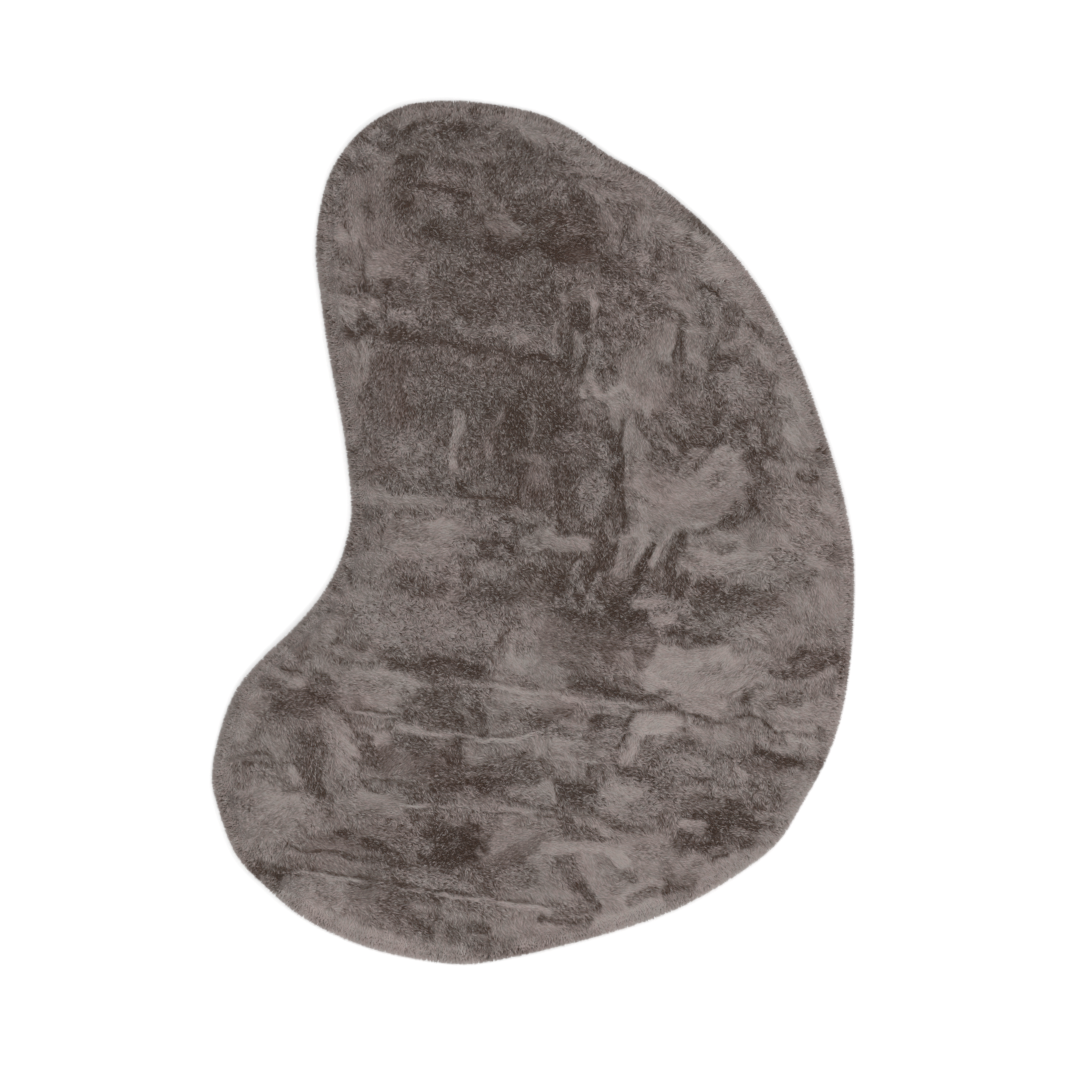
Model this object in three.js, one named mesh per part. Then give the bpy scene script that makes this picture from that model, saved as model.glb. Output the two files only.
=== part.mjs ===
// Kidney-shaped plush rug lying flat, pile up. Millimetres, +Z up.
// The origin lies on the floor under the middle of the rug's box. +Y runs along the rug, +X across it.
// The rug is one fabric: a dense pile that covers the top and wraps over the cut edge down to the floor.

import * as THREE from "three";

// Driving dimensions
const RUG_WIDTH = 1195;
const RUG_LENGTH = 1605;
const PILE_HEIGHT = 23; // floor to the pile's mean top
const RIM_WIDTH = 46; // how far in from the edge the pile starts to round over
const LOCK_LENGTH = 5; // how far the longest locks of pile stand out of the rim
const LOCK_PITCH = 42; // mean width of a lock at the rim
const LOCK_UNEVENNESS = 0.45; // how far the notch between two locks wanders, as a share of the pitch
const SHORTEST_LOCK = 0.3; // the shortest lock's length, as a share of the longest

// Fineness of the surface. The inner field has FIELD_ROWS x FIELD_COLUMNS squares.
const FIELD_ROWS = 84;
const FIELD_COLUMNS = 30;

// The edge, anticlockwise seen from above, from the shoulder of the upper lobe round the bay on the left.
// The finished rug is scaled to RUG_WIDTH and RUG_LENGTH.
const EDGE_POINTS = [
  { x: -244, y: 792 },
  { x: -313, y: 752 },
  { x: -360, y: 697 },
  { x: -384, y: 645 },
  { x: -402, y: 536 },
  { x: -393, y: 437 },
  { x: -376, y: 324 },
  { x: -351, y: 190 },
  { x: -338, y: 83 },
  { x: -337, y: 25 },
  { x: -358, y: -54 },
  { x: -391, y: -115 },
  { x: -447, y: -181 },
  { x: -499, y: -231 },
  { x: -547, y: -288 },
  { x: -578, y: -363 },
  { x: -595, y: -455 },
  { x: -587, y: -498 },
  { x: -562, y: -574 },
  { x: -541, y: -611 },
  { x: -486, y: -666 },
  { x: -434, y: -709 },
  { x: -344, y: -756 },
  { x: -253, y: -784 },
  { x: -129, y: -801 },
  { x: -65, y: -793 },
  { x: 60, y: -765 },
  { x: 212, y: -720 },
  { x: 297, y: -683 },
  { x: 398, y: -621 },
  { x: 454, y: -574 },
  { x: 502, y: -498 },
  { x: 540, y: -428 },
  { x: 568, y: -352 },
  { x: 589, y: -228 },
  { x: 594, y: -46 },
  { x: 578, y: 56 },
  { x: 548, y: 163 },
  { x: 492, y: 317 },
  { x: 417, y: 459 },
  { x: 340, y: 552 },
  { x: 222, y: 654 },
  { x: 139, y: 703 },
  { x: 72, y: 749 },
  { x: 12, y: 778 },
  { x: -116, y: 801 },
  { x: -195, y: 801 },
];

// Roughly where the four corners of the inner field lie. Its left and right sides run between them.
const FIELD_CORNERS = {
  upperLeft: { x: -330, y: 715 },
  upperRight: { x: 120, y: 705 },
  lowerRight: { x: 370, y: -625 },
  lowerLeft: { x: -500, y: -640 },
};

// Fold marks left in the pile: a soft trough from one point to the other, bowed sideways in the middle by
// `bow`, with a low crest along its upper side.
const FOLDS = [
  { fromX: -304, fromY: 377, toX: 123, toY: 281, bow: 8, width: 22, depth: 4.5, crest: 1.5 },
  { fromX: -338, fromY: 84, toX: -23, toY: 54, bow: 6, width: 22, depth: 4.0, crest: 2.0 },
  { fromX: -277, fromY: -235, toX: 123, toY: -308, bow: 6, width: 24, depth: 4.5, crest: 2.5 },
  { fromX: 123, fromY: -308, toX: 449, toY: -352, bow: 4, width: 24, depth: 4.0, crest: 2.5 },
  { fromX: -319, fromY: -337, toX: 42, toY: -362, bow: -12, width: 20, depth: 3.5, crest: 1.5 },
  { fromX: -312, fromY: -438, toX: -234, toY: -456, bow: 0, width: 18, depth: 2.5, crest: 1.0 },
  { fromX: -319, fromY: -479, toX: 132, toY: -528, bow: -10, width: 22, depth: 4.5, crest: 2.0 },
  { fromX: -456, fromY: -583, toX: -253, toY: -607, bow: 4, width: 20, depth: 3.5, crest: 1.5 },
  { fromX: -515, fromY: -603, toX: 49, toY: -698, bow: -14, width: 24, depth: 4.5, crest: 2.0 },
  { fromX: 12, fromY: -690, toX: 150, toY: -700, bow: -6, width: 20, depth: 3.0, crest: 1.0 },
];

const FOLD_FADE = 0.06; // share of a fold's length over which it fades at either end
const CREST_OFFSET = 1.6; // how far the crest lies beside the trough, in widths of the fold

// Unevenness of the pile: `pitch` is the spacing of the lumps and `rise` how far they stand up or sink.
const LUMPS = [
  { pitch: 190, rise: 1.8 },
  { pitch: 82, rise: 2.0 },
  { pitch: 44, rise: 1.1 },
];

// The rim from the inner field down to the floor: `inset` is the distance in from the edge, `height` the share
// of the pile's height there, and `lock` the share of a lock's length by which that line is pushed out.
const RIM_PROFILE = [
  { inset: 24, height: 0.97, lock: 0.0 },
  { inset: 8, height: 0.78, lock: 0.5 },
  { inset: 0, height: 0.4, lock: 1.0 },
  { inset: 6, height: 0.0, lock: 0.8 },
];

// Where the random numbers for the locks' lengths and for each layer of lumps start.
const LOCK_SEED = 900;
const LUMP_SEED_STEP = 17;

// A steady random number from 0 to 1 for a whole number.
function hash(n) {
  const wave = Math.sin(n * 127.1 + 311.7) * 43758.5453;
  return wave - Math.floor(wave);
}

// Smooth noise from -1 to 1: random values on a square lattice, blended between lattice points.
function noise(x, y, seed) {
  const column = Math.floor(x);
  const row = Math.floor(y);
  const across = THREE.MathUtils.smoothstep(x - column, 0, 1);
  const along = THREE.MathUtils.smoothstep(y - row, 0, 1);
  const at = (i, j) => hash((column + i) * 57.3 + (row + j) * 131.9 + seed);
  const lower = THREE.MathUtils.lerp(at(0, 0), at(1, 0), across);
  const upper = THREE.MathUtils.lerp(at(0, 1), at(1, 1), across);
  return 2 * THREE.MathUtils.lerp(lower, upper, along) - 1;
}

// The edge as a smooth closed curve, with the point and the outward direction at any share of its length.
class Edge {
  constructor(points) {
    const corners = points.map((p) => new THREE.Vector3(p.x, p.y, 0));
    this.curve = new THREE.CatmullRomCurve3(corners, true, "centripetal");
    this.curve.arcLengthDivisions = 4000;
    this.length = this.curve.getLength();
  }

  // The point that lies `inset` inside the edge at share `t` of its length, which may run past 0 or 1.
  inside(t, inset) {
    const share = THREE.MathUtils.euclideanModulo(t, 1);
    const tangent = this.curve.getTangentAt(share);
    const outward = new THREE.Vector2(tangent.y, -tangent.x);
    const point = this.curve.getPointAt(share);
    return new THREE.Vector2(point.x, point.y).addScaledVector(outward, -inset);
  }
}

// The share of the edge's length at which the line `inset` inside it comes nearest to a point.
function nearestShare(edge, target, inset) {
  const tries = 2000;
  const gaps = Array.from({ length: tries }, (_, i) => edge.inside(i / tries, inset).distanceTo(target));
  return gaps.indexOf(Math.min(...gaps)) / tries;
}

// Shares from `from` to `to`, `count` steps apart, at which the inset line has moved evenly along one axis.
function evenShares(edge, inset, from, to, count, axis) {
  const goal = (step) =>
    THREE.MathUtils.lerp(edge.inside(from, inset)[axis], edge.inside(to, inset)[axis], step / count);
  const forward = Math.sign(goal(count) - goal(0));
  const shares = [from];
  for (let step = 1; step < count; step++) {
    let low = from;
    let high = to;
    for (let halving = 0; halving < 30; halving++) {
      const middle = (low + high) / 2;
      if ((edge.inside(middle, inset)[axis] - goal(step)) * forward < 0) low = middle;
      else high = middle;
    }
    shares.push((low + high) / 2);
  }
  shares.push(to);
  return shares;
}

// The edge shares of the four sides of the inner field, anticlockwise: left side downwards, bottom side,
// right side upwards, top side.
function fieldSides(edge) {
  const corner = (name) => {
    const { x, y } = FIELD_CORNERS[name];
    return nearestShare(edge, new THREE.Vector2(x, y), RIM_WIDTH);
  };
  const upperLeft = corner("upperLeft");
  const after = (share, start) => (share > start ? share : share + 1);
  const lowerLeft = after(corner("lowerLeft"), upperLeft);
  const lowerRight = after(corner("lowerRight"), lowerLeft);
  const upperRight = after(corner("upperRight"), lowerRight);
  return {
    left: evenShares(edge, RIM_WIDTH, upperLeft, lowerLeft, FIELD_ROWS, "y"),
    bottom: evenShares(edge, RIM_WIDTH, lowerLeft, lowerRight, FIELD_COLUMNS, "x"),
    right: evenShares(edge, RIM_WIDTH, lowerRight, upperRight, FIELD_ROWS, "y"),
    top: evenShares(edge, RIM_WIDTH, upperRight, upperLeft + 1, FIELD_COLUMNS, "x"),
  };
}

// How far a fold raises or lowers the pile at a point: a bell-shaped trough across the fold's line and a
// crest beside it, both fading out towards the fold's ends.
function foldHeight(fold, x, y) {
  const from = new THREE.Vector2(fold.fromX, fold.fromY);
  const along = new THREE.Vector2(fold.toX, fold.toY).sub(from);
  const length = along.length();
  along.normalize();
  const offset = new THREE.Vector2(x, y).sub(from);
  const share = offset.dot(along) / length;
  const bowed = fold.bow * 4 * share * (1 - share);
  const across = (along.x * offset.y - along.y * offset.x - bowed) / fold.width;
  const fadeIn = THREE.MathUtils.smoothstep(share, -FOLD_FADE, 2 * FOLD_FADE);
  const fadeOut = THREE.MathUtils.smoothstep(1 - share, -FOLD_FADE, 2 * FOLD_FADE);
  const trough = -fold.depth * Math.exp(-across * across);
  const crest = fold.crest * Math.exp(-((across - CREST_OFFSET) ** 2));
  return fadeIn * fadeOut * (trough + crest);
}

// The height of the pile's top over the floor, away from the rim.
function pileTop(x, y) {
  const lumps = LUMPS.map((lump, i) => lump.rise * noise(x / lump.pitch, y / lump.pitch, i * LUMP_SEED_STEP));
  const folds = FOLDS.map((fold) => foldHeight(fold, x, y));
  return [...lumps, ...folds].reduce((sum, rise) => sum + rise, PILE_HEIGHT);
}

// How far the rim's locks stand out at a share of the edge: rounded tips of uneven length and width, with a
// notch between each two.
function lockReach(edge, share) {
  const count = Math.round(edge.length / LOCK_PITCH);
  const wrapped = (i) => THREE.MathUtils.euclideanModulo(i, count);
  const place = THREE.MathUtils.euclideanModulo(share, 1) * count;
  const notch = (i) => i + LOCK_UNEVENNESS * (hash(wrapped(i)) - 0.5);
  let lock = Math.floor(place);
  if (place < notch(lock)) lock -= 1;
  if (place >= notch(lock + 1)) lock += 1;
  const phase = (place - notch(lock)) / (notch(lock + 1) - notch(lock));
  const length = LOCK_LENGTH * THREE.MathUtils.lerp(SHORTEST_LOCK, 1, hash(LOCK_SEED + wrapped(lock)));
  return length * Math.sqrt(Math.sin(Math.PI * THREE.MathUtils.clamp(phase, 0, 1)));
}

// The rug's vertices and triangles.
function makeRugGeometry() {
  const edge = new Edge(EDGE_POINTS);
  const sides = fieldSides(edge);
  const positions = [];
  const triangles = [];
  const addVertex = (x, y, z) => positions.push(x, y, z) / 3 - 1;

  // The inner field: a four-sided patch whose rows and columns blend evenly between its opposite sides.
  const onLine = (share) => edge.inside(share, RIM_WIDTH);
  const left = sides.left.map(onLine).reverse();
  const right = sides.right.map(onLine);
  const bottom = sides.bottom.map(onLine);
  const top = sides.top.map(onLine).reverse();
  const field = [];
  for (let row = 0; row <= FIELD_ROWS; row++) {
    const v = row / FIELD_ROWS;
    field.push([]);
    for (let column = 0; column <= FIELD_COLUMNS; column++) {
      const u = column / FIELD_COLUMNS;
      const lower = bottom[0].clone().lerp(bottom[FIELD_COLUMNS], u);
      const upper = top[0].clone().lerp(top[FIELD_COLUMNS], u);
      const point = left[row].clone().lerp(right[row], u);
      point.add(bottom[column].clone().lerp(top[column], v));
      point.sub(lower.lerp(upper, v));
      field[row].push(addVertex(point.x, point.y, pileTop(point.x, point.y)));
    }
  }
  for (let row = 0; row < FIELD_ROWS; row++) {
    for (let column = 0; column < FIELD_COLUMNS; column++) {
      const [a, b] = field[row].slice(column, column + 2);
      const [d, c] = field[row + 1].slice(column, column + 2);
      triangles.push(a, b, c, a, c, d);
    }
  }

  // The field's outline, anticlockwise, and the share of the edge at each of its points.
  const outline = [
    ...field.map((row) => row[0]).reverse().slice(0, -1),
    ...field[0].slice(0, -1),
    ...field.map((row) => row[FIELD_COLUMNS]).slice(0, -1),
    ...field[FIELD_ROWS].slice(1).reverse(),
  ];
  const shares = [sides.left, sides.bottom, sides.right, sides.top].flatMap((side) => side.slice(0, -1));

  // The rim: rings of vertices down to the floor, with twice as many points as the field's outline.
  const next = (i) => (i + 1) % outline.length;
  const doubled = shares.flatMap((share, i) => {
    const following = i + 1 < shares.length ? shares[i + 1] : shares[0] + 1;
    return [share, (share + following) / 2];
  });
  const rings = RIM_PROFILE.map((line) =>
    doubled.map((share) => {
      const point = edge.inside(share, line.inset - line.lock * lockReach(edge, share));
      return addVertex(point.x, point.y, line.height * pileTop(point.x, point.y));
    }),
  );
  const around = doubled.length;
  outline.forEach((a, i) => {
    const b = outline[next(i)];
    const [p, q, r] = [rings[0][2 * i], rings[0][2 * i + 1], rings[0][(2 * i + 2) % around]];
    triangles.push(a, p, q, a, q, b, b, q, r);
  });
  rings.slice(1).forEach((outer, k) => {
    const inner = rings[k];
    for (let i = 0; i < around; i++) {
      const j = (i + 1) % around;
      triangles.push(inner[i], outer[i], outer[j], inner[i], outer[j], inner[j]);
    }
  });

  // The flat underside.
  const base = rings.at(-1);
  const basePoints = base.map((v) => new THREE.Vector2(positions[3 * v], positions[3 * v + 1]));
  THREE.ShapeUtils.triangulateShape(basePoints, []).forEach(([a, b, c]) => {
    const turn = basePoints[b].clone().sub(basePoints[a]).cross(basePoints[c].clone().sub(basePoints[a]));
    triangles.push(...(turn > 0 ? [base[a], base[c], base[b]] : [base[a], base[b], base[c]]));
  });

  const geometry = new THREE.BufferGeometry();
  geometry.setAttribute("position", new THREE.Float32BufferAttribute(positions, 3));
  geometry.setIndex(triangles);

  // Scaled to the rug's width and length, and centred over the origin.
  geometry.computeBoundingBox();
  const size = geometry.boundingBox.getSize(new THREE.Vector3());
  const middle = geometry.boundingBox.getCenter(new THREE.Vector3());
  geometry.translate(-middle.x, -middle.y, 0);
  geometry.scale(RUG_WIDTH / size.x, RUG_LENGTH / size.y, 1);
  geometry.computeVertexNormals();
  return geometry;
}

function makeRug() {
  const plush = new THREE.MeshStandardMaterial({ color: 0x6f6661, roughness: 1, metalness: 0 });
  const rug = new THREE.Mesh(makeRugGeometry(), plush);
  rug.name = "rug";
  return rug;
}

const part = new THREE.Group();
part.name = "organic_shaped_rug";
part.add(makeRug());

export default part;
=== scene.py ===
import math

import bpy
import numpy as np
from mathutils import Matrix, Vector


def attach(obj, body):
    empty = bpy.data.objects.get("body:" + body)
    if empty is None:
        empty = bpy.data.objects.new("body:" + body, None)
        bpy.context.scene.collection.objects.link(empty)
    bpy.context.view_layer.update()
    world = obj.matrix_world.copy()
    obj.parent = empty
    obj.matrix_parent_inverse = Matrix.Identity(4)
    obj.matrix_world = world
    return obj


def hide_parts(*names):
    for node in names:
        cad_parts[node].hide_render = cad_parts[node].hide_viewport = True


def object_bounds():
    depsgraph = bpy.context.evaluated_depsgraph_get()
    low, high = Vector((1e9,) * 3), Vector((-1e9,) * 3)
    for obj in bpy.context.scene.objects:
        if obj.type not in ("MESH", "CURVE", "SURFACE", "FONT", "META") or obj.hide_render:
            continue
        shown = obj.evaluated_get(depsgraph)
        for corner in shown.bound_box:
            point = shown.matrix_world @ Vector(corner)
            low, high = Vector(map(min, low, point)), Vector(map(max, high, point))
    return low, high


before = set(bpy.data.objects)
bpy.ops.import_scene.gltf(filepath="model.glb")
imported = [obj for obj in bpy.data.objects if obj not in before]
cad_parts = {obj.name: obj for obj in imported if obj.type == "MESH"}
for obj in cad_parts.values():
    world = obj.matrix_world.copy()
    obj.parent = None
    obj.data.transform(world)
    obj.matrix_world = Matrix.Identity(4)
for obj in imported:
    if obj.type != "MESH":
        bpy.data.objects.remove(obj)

bl_info = {
    "name": "Organic Shaped Plush Rug",
    "version": (1, 0, 0),
    "blender": (4, 5, 0),
    "location": "View3D > Sidebar > Plush Rug",
    "description": "Builds a kidney-shaped plush rug: ground cloth, brushed pile, furry rim and a stage",
    "category": "Add Mesh",
}

MM = 0.001
CAD_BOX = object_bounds()  # the solid's box, before anything is added

# The rug's edge in millimetres, anticlockwise seen from above, from the shoulder of the upper lobe round the
# bay on the left. Columns: x, y.
EDGE = np.array([
    (-244, 792), (-313, 752), (-360, 697), (-384, 645), (-402, 536), (-393, 437), (-376, 324), (-351, 190),
    (-338, 83), (-337, 25), (-358, -54), (-391, -115), (-447, -181), (-499, -231), (-547, -288), (-578, -363),
    (-595, -455), (-587, -498), (-562, -574), (-541, -611), (-486, -666), (-434, -709), (-344, -756),
    (-253, -784), (-129, -801), (-65, -793), (60, -765), (212, -720), (297, -683), (398, -621), (454, -574),
    (502, -498), (540, -428), (568, -352), (589, -228), (594, -46), (578, 56), (548, 163), (492, 317),
    (417, 459), (340, 552), (222, 654), (139, 703), (72, 749), (12, 778), (-116, 801), (-195, 801),
], float)
LOCK_MARGIN = 7.0  # how much wider the solid is than its edge curve, from its locks at the rim
HEART = np.array([120.0, -50.0])  # a point from which all of the edge can be seen

# Fold marks in the pile, in millimetres: a soft trough from one point to the other, bowed sideways in the
# middle, with a low crest on its upper side. Columns: from x, from y, to x, to y, bow, width, depth, crest.
FOLDS = [
    (-304, 377, 123, 281, 8, 22, 4.5, 1.5),
    (-338, 84, -23, 54, 6, 22, 4.0, 2.0),
    (-277, -235, 123, -308, 6, 24, 4.5, 2.5),
    (123, -308, 449, -352, 4, 24, 4.0, 2.5),
    (-319, -337, 42, -362, -12, 20, 3.5, 1.5),
    (-312, -438, -234, -456, 0, 18, 2.5, 1.0),
    (-319, -479, 132, -528, -10, 22, 4.5, 2.0),
    (-456, -583, -253, -607, 4, 20, 3.5, 1.5),
    (-515, -603, 49, -698, -14, 24, 4.5, 2.0),
    (12, -690, 150, -700, -6, 20, 3.0, 1.0),
]
FOLD_FADE = 0.06
CREST_OFFSET = 1.6

# Unevenness of the pile. Columns: spacing of the lumps, how far they stand up or sink, in millimetres.
LUMPS = [(190, 1.8), (82, 2.0), (44, 1.1)]
LUMP_SEED_STEP = 17

# How the pile lies under each kind of mark. Columns: tone from 0, dark, to 1, light, or a little past; lay
# from 0, upright, to 1, flat; tuft from 0, even, to 1, gathered in clumps; warmth from 0, olive grey, to 1,
# rosy brown; rise in millimetres; softness of the mark's border; mottle, how much the mark thins out in
# places; shade, how dark the pile is just past the border.
# The tone column paints light and shade into the pile's colour: light where the pile is brushed flat or rides
# a crest, dark where it stands up or dips into a crease.
KINDS = {
    "brushed": (0.88, 0.90, 0.03, 0.55, 0.0, 0.24, 0.15, 0.30),
    "bright": (1.00, 0.95, 0.00, 0.50, 0.5, 0.20, 0.05, 0.30),
    "ridge": (1.00, 0.90, 0.00, 0.50, 3.0, 0.45, 0.35, 0.15),
    "sleek": (0.72, 0.85, 0.08, 0.50, 0.0, 0.34, 0.20, 0.18),
    "feather": (0.84, 0.55, 0.90, 0.50, 0.8, 0.36, 0.30, 0.26),
    "granular": (0.40, 0.42, 0.90, 0.50, 0.0, 0.50, 0.25, 0.0),
    "dusky": (0.20, 0.40, 0.60, 0.40, 0.0, 0.38, 0.30, 0.0),
    "brown": (0.34, 0.60, 0.15, 0.95, 0.0, 0.36, 0.15, 0.0),
    "standing": (0.05, 0.32, 0.60, 0.55, 0.0, 0.28, 0.25, 0.0),
    "block": (0.03, 0.32, 0.30, 0.72, 0.0, 0.16, 0.10, 0.0),
    "line": (-0.05, 0.45, 0.10, 0.45, 0.5, 0.45, 0.35, 0.0),
}

# The shade that a mark's pile throws just past its border. Columns: distance and width in millimetres.
BORDER_SHADE = (2.0, 1.7)

# Marks are placed on a drawing of the rug seen from above, x to the right and y downwards.
DRAWING_UNIT = 1.85  # millimetres
DRAWING_MIDDLE = (533.0, 532.5)
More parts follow.
